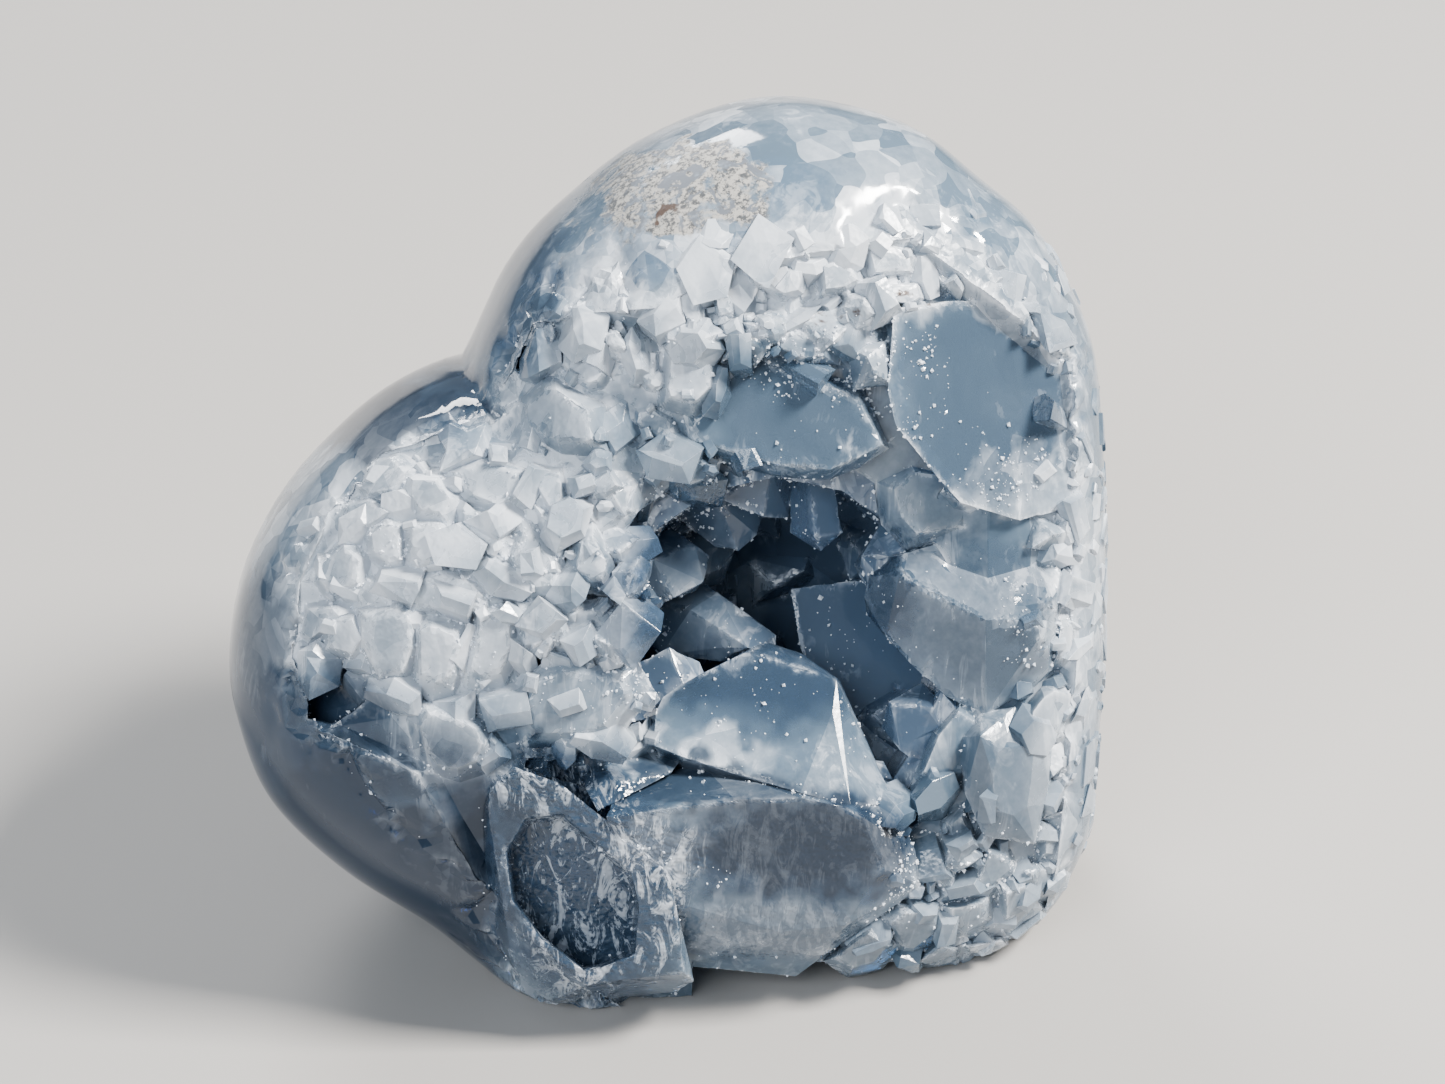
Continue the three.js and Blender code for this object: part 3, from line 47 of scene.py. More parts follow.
# The polished heart, in millimetres, as the solids have it.
CENTRE = np.array([-0.134, -0.024, 37.0])
LEAN = math.radians(17)
FRONT_SWELL = 24
BACK_SWELL = 26
SWELL_POWER = 2.67
FACE_UP = np.array([0, math.sin(LEAN), math.cos(LEAN)])
FACE_OUT = np.array([0, -math.cos(LEAN), math.sin(LEAN)])
OUTLINE = np.array([
    (-18.9, 21.0), (-20.5, 20.7), (-24.5, 19.3), (-28.5, 17.1), (-32.5, 13.9), (-36.5, 10.0),
    (-39.5, 5.9), (-41.9, 1.3), (-43.4, -4.0), (-43.8, -8.0), (-43.4, -12.0), (-41.9, -18.0),
    (-39.8, -21.8), (-34.2, -28.0), (-26.2, -34.4), (-21.8, -38.8), (-17.8, -42.6),
    (-12.5, -45.2), (-4.0, -45.6), (8.0, -45.6), (20.0, -45.0), (29.5, -43.4), (35.0, -41.0),
    (38.3, -38.0), (40.5, -34.0), (42.0, -30.0), (42.7, -24.0), (43.3, -18.0), (43.7, -12.0),
    (44.0, 0.0), (43.7, 13.0), (43.0, 20.0), (40.8, 26.3), (37.2, 32.4), (32.4, 36.8),
    (27.0, 41.4), (21.3, 43.8), (14.4, 45.2), (10.4, 45.0), (6.0, 44.0), (-0.8, 41.2),
    (-6.3, 37.4), (-11.1, 33.4), (-14.2, 29.6), (-16.3, 25.8), (-18.0, 22.5),
])

# The eye that the picture is seen with, and the picture's size in pixels.
EYE_TURN = math.radians(-8)
EYE_RISE = math.radians(32)
EYE_DISTANCE = 320
AIM = np.array([5.693, 0.120, 38.526])
EYE_RIGHT = np.array([math.cos(EYE_TURN), math.sin(EYE_TURN), 0])
EYE_TOWARD = np.array([
    math.sin(EYE_TURN) * math.cos(EYE_RISE),
    -math.cos(EYE_TURN) * math.cos(EYE_RISE),
    math.sin(EYE_RISE),
])
EYE_UP = np.cross(EYE_TOWARD, EYE_RIGHT)
PICTURE_WIDE = 1445
PICTURE_HIGH = 1084
PIXELS_PER_MM = 10
VIEW_WIDTH = PICTURE_WIDE / PIXELS_PER_MM

# Zones of the front: name, middle and half sizes in picture pixels, strength.
FROST_ZONES = [
    ("left cluster", 425, 560, 190, 150, 0.75),
    ("brightest lumps", 395, 525, 95, 75, 1.0),
    ("left cluster foot", 330, 630, 90, 60, 0.7),
    ("lumps under the cleft", 560, 560, 80, 110, 0.7),
    ("knob by the cleft", 555, 415, 60, 50, 0.3),
    ("cut band", 760, 265, 220, 80, 0.85),
    ("cut band, upper right", 880, 185, 120, 60, 0.8),
    ("cut band, lower left", 640, 345, 100, 60, 0.65),
    ("cut band, top", 775, 128, 150, 38, 0.7),
    ("cleavage in the right slab", 1015, 480, 62, 42, 0.9),
    ("white crystal on the right", 1010, 275, 45, 60, 0.75),
    ("right rim, upper", 1060, 330, 40, 130, 0.45),
    ("right rim, middle", 1085, 590, 32, 150, 0.7),
    ("right rim, lower", 1070, 790, 45, 130, 0.45),
    ("lower right", 985, 890, 120, 70, 0.3),
    ("left of the spur", 580, 690, 80, 60, 0.55),
    ("cleavage patch", 722, 750, 50, 16, 0.9),
    ("white spur", 630, 738, 26, 28, 0.9),
    ("streaks on the block", 655, 852, 55, 32, 0.75),
    ("hollow rim", 600, 620, 50, 60, 0.6),
    ("left knob", 447, 742, 62, 54, 0.6),
]
DEEP_ZONES = [
    ("window in the block", 795, 850, 130, 62, 1.0),
    ("polished lower left", 410, 850, 200, 130, 0.95),
    ("polished left", 300, 760, 110, 90, 0.8),
    ("dark pit", 345, 700, 50, 45, 1.0),
    ("pit by the block", 555, 768, 45, 26, 1.0),
    ("cleft groove", 430, 392, 60, 45, 0.8),
    ("etched block", 590, 885, 100, 130, 0.95),
    ("right slab", 985, 400, 100, 120, 0.5),
    ("upper block", 800, 415, 100, 70, 0.35),
    ("two-faced point", 965, 620, 95, 90, 0.45),
    ("right lobe, left flank", 515, 270, 50, 110, 0.6),
    ("left crystals", 465, 740, 60, 45, 0.3),
    ("hollow", 760, 600, 180, 135, 0.9),
]
ETCHED_ZONES = [
    ("etched window", 590, 885, 80, 122, 1.0),
    ("its right face", 640, 900, 50, 90, 1.0),
    ("its upper face", 560, 790, 75, 34, 0.9),
    ("streaks on the block", 655, 852, 60, 34, 0.8),
    ("lower band of the block", 770, 930, 130, 30, 0.35),
    ("window in the block", 800, 850, 120, 45, 0.22),
]
# Painted shade on the polished skin where it faces down or away from the light: the lower left, the
# left side, under the left cluster and the right lobe's left flank; the top of the left lobe is
# darkened too.
SHADED_SKIN_ZONES = [
    ("lower left", 390, 860, 200, 150, 1.0),
    ("left", 262, 700, 60, 150, 0.85),
    ("under the left cluster", 330, 780, 110, 60, 0.9),
    ("left lobe top", 410, 425, 105, 55, 1.0),
    ("right lobe, left flank", 500, 290, 45, 100, 0.35),
]
# Dark blue stone: partly its own tint, as in the window and bands of the block and the etched block,
# and partly painted shade in the seam beside the etched block, at its foot, at the lower right and on
# the dark crystal on the left.
DARK_TINT_AND_SHADE_ZONES = [
    ("window in the block", 800, 845, 130, 55, 1.0),
    ("grey band of the block", 700, 785, 120, 26, 0.9),
    ("lower band of the block", 790, 930, 130, 40, 0.6),
    ("lower right", 1000, 790, 60, 90, 0.5),
    ("seam beside the etched block", 462, 880, 34, 110, 1.0),
    ("foot left of the etched block", 385, 868, 70, 72, 1.0),
    ("dark crystal on the left", 345, 705, 46, 36, 0.7),
    ("etched block", 590, 890, 80, 110, 0.35),
]
CROWD_ZONES = [
    ("left cluster", 430, 570, 185, 135, 0.8),
    ("left cluster foot", 350, 640, 80, 50, 0.8),
    ("between the lobes", 530, 480, 70, 60, 0.5),
    ("under the cut band", 690, 340, 150, 60, 1.0),
    ("under the cut band, right", 850, 270, 120, 50, 0.9),
    ("beside the right slab", 1020, 260, 50, 60, 0.8),
    ("right rim", 1070, 430, 40, 130, 0.7),
    ("right rim, middle", 1070, 620, 32, 90, 0.8),
    ("right rim, lower", 1060, 780, 45, 120, 0.9),
    ("lower right", 970, 880, 120, 75, 0.6),
    ("right of the block", 930, 830, 60, 60, 0.6),
    ("rim of the hollow", 615, 600, 50, 90, 0.8),
    ("foot of the left crystals", 560, 720, 120, 40, 0.5),
    ("behind the upper block", 690, 470, 70, 40, 0.5),
    ("pit under the cut band", 533, 362, 30, 26, 1.0),
    ("pit by the cleft knob", 621, 432, 22, 18, 1.0),
    ("ledge, left", 600, 340, 90, 24, 0.8),
    ("ledge, middle", 760, 252, 120, 26, 0.8),
    ("ledge, right", 945, 225, 60, 34, 0.8),
    ("ledge, far right", 1045, 300, 36, 70, 0.8),
    ("right edge", 1092, 650, 24, 300, 1.0),
]
# Where small crystals also break through the polished skin.
LEDGE_ZONES = [
    ("left", 600, 340, 90, 22, 1.0),
    ("middle", 760, 250, 120, 24, 1.0),
    ("right", 945, 222, 55, 30, 1.0),
    ("far right", 1050, 300, 30, 60, 1.0),
    ("right edge", 1092, 650, 24, 290, 1.0),
]
MILKY_HOLLOW_ZONES = [
    ("left of the hollow", 690, 600, 75, 60, 0.6),
]
CRUMB_ZONES = [
    ("upper block", 830, 355, 110, 55, 1.0),
    ("left side of the right slab", 915, 385, 28, 70, 0.9),
    ("lower end of the right slab", 1000, 470, 60, 40, 0.8),
    ("left cluster", 420, 590, 180, 120, 0.5),
    ("edge of the left cluster", 560, 690, 110, 30, 1.0),
    ("foot of the knobs", 455, 755, 50, 25, 0.8),
    ("rim of the hollow", 640, 640, 40, 70, 0.9),
    ("two-faced point", 1040, 620, 40, 60, 0.8),
    ("window in the block", 800, 850, 130, 60, 0.35),
    ("right end of the block", 880, 860, 40, 60, 0.9),
    ("streaks on the block", 660, 840, 60, 30, 0.7),
    ("lower right", 970, 870, 110, 70, 0.7),
    ("hollow", 770, 620, 180, 170, 0.12),
    ("back crystals", 690, 500, 60, 40, 0.7),
    ("cut band edge", 720, 350, 160, 40, 0.5),
]
SAND_ZONES = [
    ("matrix on top", 680, 190, 110, 55, 1.0),
    ("matrix, left end", 600, 240, 60, 45, 0.6),
    ("dust in the cut band", 880, 300, 50, 14, 0.5),
]
RUST_ZONES = [
    ("speck in the matrix", 672, 212, 10, 7, 0.8),
    ("dirt over the upper block", 835, 308, 40, 9, 0.6),
    ("dirt over the right slab", 900, 300, 26, 9, 0.7),
]


def smooth_loop(points, steps=12):
    """A closed centripetal curve through points."""
    made = []
    count = len(points)
    for i in range(count):
        p = [points[(i + k) % count] for k in (-1, 0, 1, 2)]
        t = [0.0]
        for a, b in zip(p, p[1:]):
            t.append(t[-1] + math.sqrt(np.linalg.norm(b - a)))
        for s in np.linspace(t[1], t[2], steps, endpoint=False):
            a = [((t[k + 1] - s) * p[k] + (s - t[k]) * p[k + 1]) / (t[k + 1] - t[k]) for k in range(3)]
            b = [((t[k + 2] - s) * a[k] + (s - t[k]) * a[k + 1]) / (t[k + 2] - t[k]) for k in range(2)]
            made.append(((t[2] - s) * b[0] + (s - t[1]) * b[1]) / (t[2] - t[1]))
    return np.array(made)


def polar_reach():
    """Angles and distances of the outline from the centre, sorted by angle."""
    loop = smooth_loop(OUTLINE)
    angles = np.arctan2(loop[:, 1], loop[:, 0])
    order = np.argsort(angles)
    return angles[order], np.hypot(loop[:, 0], loop[:, 1])[order]


REACH_ANGLES, REACHES = polar_reach()


def fullness(points):
    """Under 1 inside the polished heart and 1 on its skin. Points are in millimetres."""
    from_centre = points - CENTRE
    up = from_centre @ FACE_UP
    out = from_centre @ FACE_OUT
    across = from_centre[:, 0]
    reach = np.interp(np.arctan2(up, across), REACH_ANGLES, REACHES, period=2 * math.pi)
    swell = np.where(out > 0, FRONT_SWELL, BACK_SWELL)
    return (np.hypot(across, up) / reach) ** SWELL_POWER + (abs(out) / swell) ** SWELL_POWER


def skin_level(points):
    """How far out from the centre points are, where the polished skin is at 1."""
    return fullness(points) ** (1 / SWELL_POWER)


def unit(vectors):
    return vectors / np.maximum(np.linalg.norm(vectors, axis=-1, keepdims=True), 1e-12)


def skin_normals(points):
    """Outward directions of the skin's own shape at points."""
    step = 0.3
    slopes = [fullness(points + step * axis) - fullness(points - step * axis) for axis in np.eye(3)]
    return unit(np.stack(slopes, axis=1))


def sight(points):
    """Where points are in the picture, in its pixels."""
    rays = points - AIM
    scale = PIXELS_PER_MM * EYE_DISTANCE / (EYE_DISTANCE - rays @ EYE_TOWARD)
    return PICTURE_WIDE / 2 + scale * (rays @ EYE_RIGHT), PICTURE_HIGH / 2 - scale * (rays @ EYE_UP)


def smooth_step(values, low, high):
    share = np.clip((values - low) / (high - low), 0, 1)
    return share * share * (3 - 2 * share)


# Large odd numbers and shifts that stir whole-numbered cells into even random numbers.
CELL_STIRS = (73856093, 19349663, 83492791)
SEED_STIR = 2654435761
STIR_ROUNDS = ((29, 0xBF58476D1CE4E5B9), (32, 0x94D049BB133111EB))
LAST_SHIFT = 29
KEPT_BITS = 53


def hashed(cells, seed):
    """Even random numbers from 0 to 1, the same each time for the same whole-numbered cells."""
    mixed = np.full(cells.shape[:-1], seed + 1, np.uint64) * np.uint64(SEED_STIR)
    for k, stir in enumerate(CELL_STIRS):
        mixed ^= cells[..., k].astype(np.int64).astype(np.uint64) * np.uint64(stir)
    for shift, stir in STIR_ROUNDS:
        mixed = (mixed ^ (mixed >> np.uint64(shift))) * np.uint64(stir)
    mixed ^= mixed >> np.uint64(LAST_SHIFT)
    return (mixed >> np.uint64(64 - KEPT_BITS)).astype(float) / 2 ** KEPT_BITS


def noise(points, size, seed):
    """Smooth random values from 0 to 1 that change over about size millimetres."""
    place = points / size
    cell = np.floor(place)
    part = place - cell
    part = part * part * (3 - 2 * part)
    total = np.zeros(len(points))
    for corner in itertools.product((0, 1), repeat=3):
        weight = np.prod(np.where(corner, part, 1 - part), axis=1)
        total += weight * hashed(cell + corner, seed)
    return total


# Random patches: their size and that of finer ones in millimetres, the strength of the finer
# ones, a seed, and the values between which a patch fades in.
PATCHES = {
    "chips": (1.6, 0.6, 0.6, 40, 0.65, 1.25),
    "flakes": (2.2, 0.8, 0.4, 50, 0.6, 0.85),
    "bunches": (2.4, 0.9, 0.6, 60, 0.8, 1.2),
    "pale grains behind": (17, 5, 0.3, 81, 0.72, 0.95),
    "matrix behind": (15, 4, 0.3, 91, 0.9, 1.05),
}


def patches(points, kind):
    """0 to 1 for how much points belong to a kind of random patches."""
    size, finer, share, seed, low, high = PATCHES[kind]
    return smooth_step(noise(points, size, seed) + share * noise(points, finer, seed + 1), low, high)


# The edges of zones wander: how far in pixels, over which lengths in millimetres, and the seeds.
WANDER = 28
WANDER_SIZES = (3.1, 1.2)
WANDER_SEEDS = (11, 13)
# Between these shares of its half size a zone fades out.
ZONE_FADE = (0.7, 1.15)


def ragged_sight(points):
    """Where points are in the picture, moved a little this way and that for ragged edges."""
    large, small = WANDER_SIZES
    places = []
    for place, seed in zip(sight(points), WANDER_SEEDS):
        drift = noise(points, large, seed) + noise(points, small, seed + 1) - 1
        places.append(place + WANDER * drift)
    return places


def zone_share(places, zones):
    """How strongly places in the picture belong to zones."""
    x, y = places
    share = np.zeros(len(x))
    for _, middle_x, middle_y, half_x, half_y, strength in zones:
        away = np.hypot((x - middle_x) / half_x, (y - middle_y) / half_y)
        share = np.maximum(share, strength * (1 - smooth_step(away, *ZONE_FADE)))
    return share


def edge_list(triangles):
    """The edges, each once, and which of them each corner pair of the triangles is."""
    corners = triangles[:, [0, 1, 1, 2, 2, 0]].reshape(-1, 2)
    count = triangles.max() + 1
    keys, where = np.unique(corners.min(axis=1) * count + corners.max(axis=1), return_inverse=True)
    return np.stack([keys // count, keys % count], axis=1), where.reshape(-1)


# Vertices that agree to this part of a millimetre are one.
MERGE_STEPS = 2000


def mesh_points(mesh):
    points = np.empty(len(mesh.vertices) * 3)
    mesh.vertices.foreach_get("co", points)
    return points.reshape(-1, 3)


def read_solid(node):
    """A solid's vertices in millimetres, merged where they coincide, and its triangles."""
    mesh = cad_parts[node].data
    mesh.calc_loop_triangles()
    points = mesh_points(mesh) / MM
    triangles = np.empty(len(mesh.loop_triangles) * 3, np.int64)
    mesh.loop_triangles.foreach_get("vertices", triangles)
    keys = np.round(points * MERGE_STEPS).astype(np.int64)
    _, first, same = np.unique(keys, axis=0, return_index=True, return_inverse=True)
    triangles = same.reshape(-1)[triangles].reshape(-1, 3)
    apart = (np.diff(np.sort(triangles, axis=1), axis=1) > 0).all(axis=1)
    return points[first], triangles[apart]


def split_once(points, triangles, groups, wanted):
    """Splits every edge longer than wanted says at its middle, and the triangles with it."""
    edges, where = edge_list(triangles)
    where = where.reshape(-1, 3)
    middles = (points[edges[:, 0]] + points[edges[:, 1]]) / 2
    long = np.linalg.norm(points[edges[:, 0]] - points[edges[:, 1]], axis=1) > wanted(middles)
    number = np.full(len(edges), -1)
    number[long] = len(points) + np.arange(long.sum())
    new_points = np.concatenate([points, middles[long]])
    made, kept_groups = [], []
    m = number[where]
    cut = m >= 0
    count = cut.sum(axis=1)

    def add(chosen, *corners):
        made.append(np.stack(corners, axis=1))
        kept_groups.append(groups[chosen])

    add(count == 0, *triangles[count == 0].T)
    full = count == 3
    a, b, c = triangles[full].T
    ab, bc, ca = m[full].T
    for corners in ((a, ab, ca), (ab, b, bc), (ca, bc, c), (ab, bc, ca)):
        add(full, *corners)
    for turn in range(3):
        t = np.roll(triangles, -turn, axis=1)
        k = np.roll(m, -turn, axis=1)
        h = np.roll(cut, -turn, axis=1)
        one = (count == 1) & h[:, 0]
        a, b, c = t[one].T
        ab = k[one, 0]
        add(one, a, ab, c)
        add(one, ab, b, c)
        two = (count == 2) & h[:, 0] & h[:, 1]
        a, b, c = t[two].T
        ab, bc = k[two, 0], k[two, 1]
        add(two, ab, b, bc)
        add(two, a, ab, bc)
        add(two, a, bc, c)
    return new_points, np.concatenate(made), np.concatenate(kept_groups), long.any()


def refined(points, triangles, groups, wanted, passes=10):
    for _ in range(passes):
        points, triangles, groups, changed = split_once(points, triangles, groups, wanted)
        if not changed:
            break
    return points, triangles, groups


def face_normals(points, triangles):
    a, b, c = (points[triangles[:, k]] for k in range(3))
    return unit(np.cross(b - a, c - a))


def paired_edges(triangles):
    """Each edge's two corners, two triangles and the corners of those that are off the edge."""
    edges, where = edge_list(triangles)
    off = triangles[:, [2, 0, 1]].reshape(-1)
    owner = np.repeat(np.arange(len(triangles)), 3)
    order = np.argsort(where, kind="stable")
    return edges, owner[order].reshape(-1, 2), off[order].reshape(-1, 2)


def flattest(points, triangles):
    """For each vertex, the cosine of the widest turn between a face round it and their average."""
    normals = face_normals(points, triangles)
    average = np.zeros((len(points), 3))
    for k in range(3):
        np.add.at(average, triangles[:, k], normals)
    average = unit(average)
    least = np.ones(len(points))
    for k in range(3):
        turn = np.einsum("ij,ij->i", normals, average[triangles[:, k]])
        np.minimum.at(least, triangles[:, k], turn)
    return least, average


# Triangles that turn less than the first lie flat, and less than the second on one crystal face.
# Edges that turn more than the third are sharp.
FLAT_TURN = math.radians(0.6)
FACET_TURN = math.radians(4)
SHARP_TURN = math.radians(18)


def evened(points, triangles, rounds=4, pull=0.6):
    """Slides the vertices inside flat faces towards their neighbours' middle."""
    still = flattest(points, triangles)[0] < math.cos(FLAT_TURN)
    edges = edge_list(triangles)[0]
    for _ in range(rounds):
        total = np.zeros_like(points)
        count = np.zeros(len(points))
        for a, b in (edges.T, edges.T[::-1]):
            np.add.at(total, a, points[b])
            np.add.at(count, a, 1)
        middle = total / count[:, None]
        points = np.where(still[:, None], points, points * (1 - pull) + middle * pull)
    return points


def flipped_to_even(points, triangles):
    """Turns edges inside flat faces so that thin triangles become rounder."""
    mesh = bpy.data.meshes.new("net")
    mesh.from_pydata(points, [], triangles)
    net = bmesh.new()
    net.from_mesh(mesh)
    flat = [edge for edge in net.edges if abs(edge.calc_face_angle(1)) < FLAT_TURN]
    bmesh.ops.beautify_fill(net, faces=net.faces[:], edges=flat, use_restrict_tag=False, method="ANGLE")
    net.to_mesh(mesh)
    net.free()
    made = np.empty(len(mesh.loops), np.int64)
    mesh.loops.foreach_get("vertex_index", made)
    bpy.data.meshes.remove(mesh)
    return made.reshape(-1, 3)


# More cells than the object has in any direction.
CELL_SPAN = 4096


def near(samples, size):
    """A test for places that lie near samples, good to about size."""
    cells = np.unique(np.floor(samples.reshape(-1, 3) / size).astype(np.int64), axis=0)
    around = np.array(list(itertools.product((-1, 0, 1), repeat=3)))
    cells = (cells[:, None, :] + around).reshape(-1, 3)

    def key(cells):
        return (cells[:, 0] * CELL_SPAN + cells[:, 1]) * CELL_SPAN + cells[:, 2]

    marked = np.unique(key(cells))
    return lambda places: np.isin(key(np.floor(places / size).astype(np.int64)), marked)


# How near to a sharp edge triangles are small, and the samples along each edge.
EDGE_NEAR = 0.3
EDGE_SAMPLES = 60
# The crust and the stone face each other where they are this near, sampled this finely.
WALL_NEAR = 0.4
WALL_SAMPLES = 0.8
# Longest sides of triangles in millimetres: by sharp edges, elsewhere and unseen.
CRUST_LENGTHS = (0.55, 1.3, 3.0)
BODY_LENGTHS = (0.62, 1.4, 3.2)
# The body is unseen behind this much in front of its middle plane.
HIDDEN_BEHIND = 2


def edge_bends(points, triangles):
    """Edges, their triangles, the corners off them, and all normals and bends."""
    edges, owners, off = paired_edges(triangles)
    normals = face_normals(points, triangles)
    bend = np.einsum("ij,ij->i", normals[owners[:, 0]], normals[owners[:, 1]])
    return edges, owners, off, normals, bend


def near_edges(points, triangles):
    """A test for places that lie near a sharp edge of the solid."""
    edges, _, _, _, bend = edge_bends(points, triangles)
    edges = edges[bend < math.cos(SHARP_TURN)]
    steps = np.linspace(0, 1, EDGE_SAMPLES)[:, None, None]
    return near(points[edges[:, 0]] * (1 - steps) + points[edges[:, 1]] * steps, EDGE_NEAR)


def wall_behind():
    """A test for places where the crust and the stone behind it face each other."""
    samples = []
    for node in ("crust", "heart_body"):
        points, triangles = read_solid(node)
        groups = np.zeros(len(triangles))
        fine = refined(points, triangles, groups, lambda places: np.full(len(places), WALL_SAMPLES))
        samples.append(fine[0])
    crust, body = samples
    touching = near(body, WALL_NEAR)(crust)
    return near(crust[touching], WALL_NEAR)


def split_lengths(solid, lengths, hidden):
    """How long edges may be at a place."""
    sharp = near_edges(*solid)
    by_edges, elsewhere, unseen = lengths
    return lambda places: np.where(hidden(places), unseen, np.where(sharp(places), by_edges, elsewhere))


# How values fade from an edge: length in millimetres, and steps.
RIM_FADE = (1.6, 5)
RIDGE_FADE = (0.3, 2)
CLEFT_FADE = (0.4, 3)
FLAKE_FADE = (1.4, 5)
# Between these turns, in degrees, an edge goes from none to a full ridge or cleft.
RIDGE_TURNS = (18, 55)


def spread(points, edges, start, fade, steps):
    """Lets a value at some vertices fade out along the edges round them."""
    carry = np.exp(-np.linalg.norm(points[edges[:, 0]] - points[edges[:, 1]], axis=1) / fade)
    level = start.copy()
    for _ in range(steps):
        given = level[edges] * carry[:, None]
        np.maximum.at(level, edges[:, 0], given[:, 1])
        np.maximum.at(level, edges[:, 1], given[:, 0])
    return level


def ridges_and_valleys(points, triangles):
    """The edges, and for each vertex how sharp a ridge and how deep a cleft it is on."""
    edges, owners, off, normals, bend = edge_bends(points, triangles)
    strength = smooth_step(np.degrees(np.arccos(np.clip(bend, -1, 1))), *RIDGE_TURNS)
    beyond = points[off[:, 1]] - points[edges[:, 0]]
    stands_out = np.einsum("ij,ij->i", normals[owners[:, 0]], beyond) < 0
    found = []
    for chosen in (stands_out, ~stands_out):
        level = np.zeros(len(points))
        for k in range(2):
            np.maximum.at(level, edges[chosen, k], strength[chosen])
        found.append(level)
    return edges, *found


def clefts(points, triangles):
    """How much of a cleft each triangle is in."""
    return ridges_and_valleys(points, triangles)[2][triangles].mean(axis=1)


def facet_numbers(points, triangles):
    """One number for each flat face, the same over all of its triangles."""
    _, owners, _, _, bend = edge_bends(points, triangles)
    pairs = owners[bend > math.cos(FACET_TURN)]
    label = np.arange(len(triangles))
    while True:
        low = np.minimum(label[pairs[:, 0]], label[pairs[:, 1]])
        before = label.copy()
        np.minimum.at(label, pairs[:, 0], low)
        np.minimum.at(label, pairs[:, 1], low)
        label = label[label]
        if (label == before).all():
            break
    return label


def add_object(name, data):
    made = bpy.data.objects.new(name, data)
    bpy.context.scene.collection.objects.link(made)
    return made


def put_values(mesh, domain, label, numbers):
    layer = mesh.attributes.new(label, "FLOAT", domain)
    layer.data.foreach_set("value", np.asarray(numbers, np.float32))


def mesh_object(name, points, triangles, material, smooth, point_values, face_values):
    mesh = bpy.data.meshes.new(name)
    mesh.from_pydata(points * MM, [], triangles)
    mesh.materials.append(material)
    mesh.polygons.foreach_set("use_smooth", smooth)
    for domain, values in (("POINT", point_values), ("FACE", face_values)):
        for label, numbers in values.items():
            put_values(mesh, domain, label, numbers)
    return add_object(name, mesh)


# How deep edges that stand out are chipped, and the least share of that.
CHIP_DEPTH = 0.25
CHIP_LEAST = 0.25
FACET_SEED = 7


def chipped(points, triangles, average):
    """Knocks bits off the edges that stand out."""
    edges, ridge, _ = ridges_and_valleys(points, triangles)
    ridge = spread(points, edges, ridge, *RIDGE_FADE)
    depth = CHIP_DEPTH * ridge * (CHIP_LEAST + (1 - CHIP_LEAST) * patches(points, "chips"))
    return points - average * depth[:, None]


def finish_stone(name, points, triangles, material, skin, node, **zones):
    edges, ridge, valley = ridges_and_valleys(points, triangles)
    rim = spread(points, edges, ridge, *RIM_FADE)
    ridge = spread(points, edges, ridge, *RIDGE_FADE)
    valley = spread(points, edges, valley, *CLEFT_FADE)
    facet = facet_numbers(points, triangles)
    chance = hashed(np.stack([facet, facet * 0, facet * 0], axis=1), FACET_SEED)
    smooth = skin[triangles].all(axis=1)
    # The ridge and rim values paint highlights along the edges that stand out, and the valley values
    # paint light into the clefts.
    values = dict(zones, ridge=ridge, valley=valley, rim=rim, polish=skin.astype(float))
    stone = mesh_object(name, points, triangles, material, smooth, values, {"facet": chance})
    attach(stone, "root")
    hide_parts(node)


# The solids leave a thin gap between the crust and the stone that it grew on. Here it closes:
# crust nearer than the first of these is sunk into the stone, and crust past the second stays.
GAP_NEAR = 0.5
GAP_FAR = 0.9
GAP_SINK = 0.12


def closed_on(points, solid):
    """Moves the points that lie a thin gap off a solid a little way into it."""
    tree = BVHTree.FromPolygons(*(part.tolist() for part in solid))
    moved = points.copy()
    for i, point in enumerate(points):
        found, normal, _, away = tree.find_nearest(Vector(point), GAP_FAR)
        if found is not None:
            share = 1 - smooth_step(away, GAP_NEAR, GAP_FAR)
            moved[i] += share * (np.array(found - normal * GAP_SINK) - point)
    return moved


# The crust is clearer than the front: its share of the frost, and how deep it is.
CRUST_FROST = 0.5
CRUST_DEEP = 0.9


def build_crust(material):
    points, triangles = read_solid("crust")
    wanted = split_lengths((points, triangles), CRUST_LENGTHS, wall_behind())
    points, triangles, _ = refined(points, triangles, np.zeros(len(triangles)), wanted)
    triangles = flipped_to_even(points, triangles)
    points = evened(points, triangles)
    points = chipped(points, triangles, flattest(points, triangles)[1])
    points = closed_on(points, read_solid("heart_body"))
    none = np.zeros(len(points))
    places = ragged_sight(points)
    finish_stone(
        "hollow_crust", points, triangles, material, none > 0, "crust",
        frost=zone_share(places, FROST_ZONES) * CRUST_FROST,
        deep=CRUST_DEEP - zone_share(places, MILKY_HOLLOW_ZONES),
        sand=none, etched=none, smoky=none, rust=none,
    )
    return points, triangles


def on_all(triangles, chosen, count):
    """Which vertices have only triangles round them whose corners are all chosen."""
    whole = np.ones(count, bool)
    whole[triangles[~chosen[triangles].all(axis=1)].reshape(-1)] = False
    return whole


# Faces of the solid are polished skin when they lie this near to the skin's curve, along it.
SKIN_NEAR = 0.004
SKIN_ALONG = 0.95
# Lower than this is the flat foot, which stays flat.
FOOT_TOP = 0.2
# How deep the polish flakes off at its edge.
FLAKE_DEPTH = 0.9
# Fades: in millimetres before the middle plane, and by how much the skin faces the eye.
FRONT_FADE = (0, 6)
SEEN_FADE = (-0.1, 0.15)
SAND_FADE = (-0.2, 0.1)
BEHIND_FADE = (0.6, 0.0)
BEHIND_FROST = 0.8


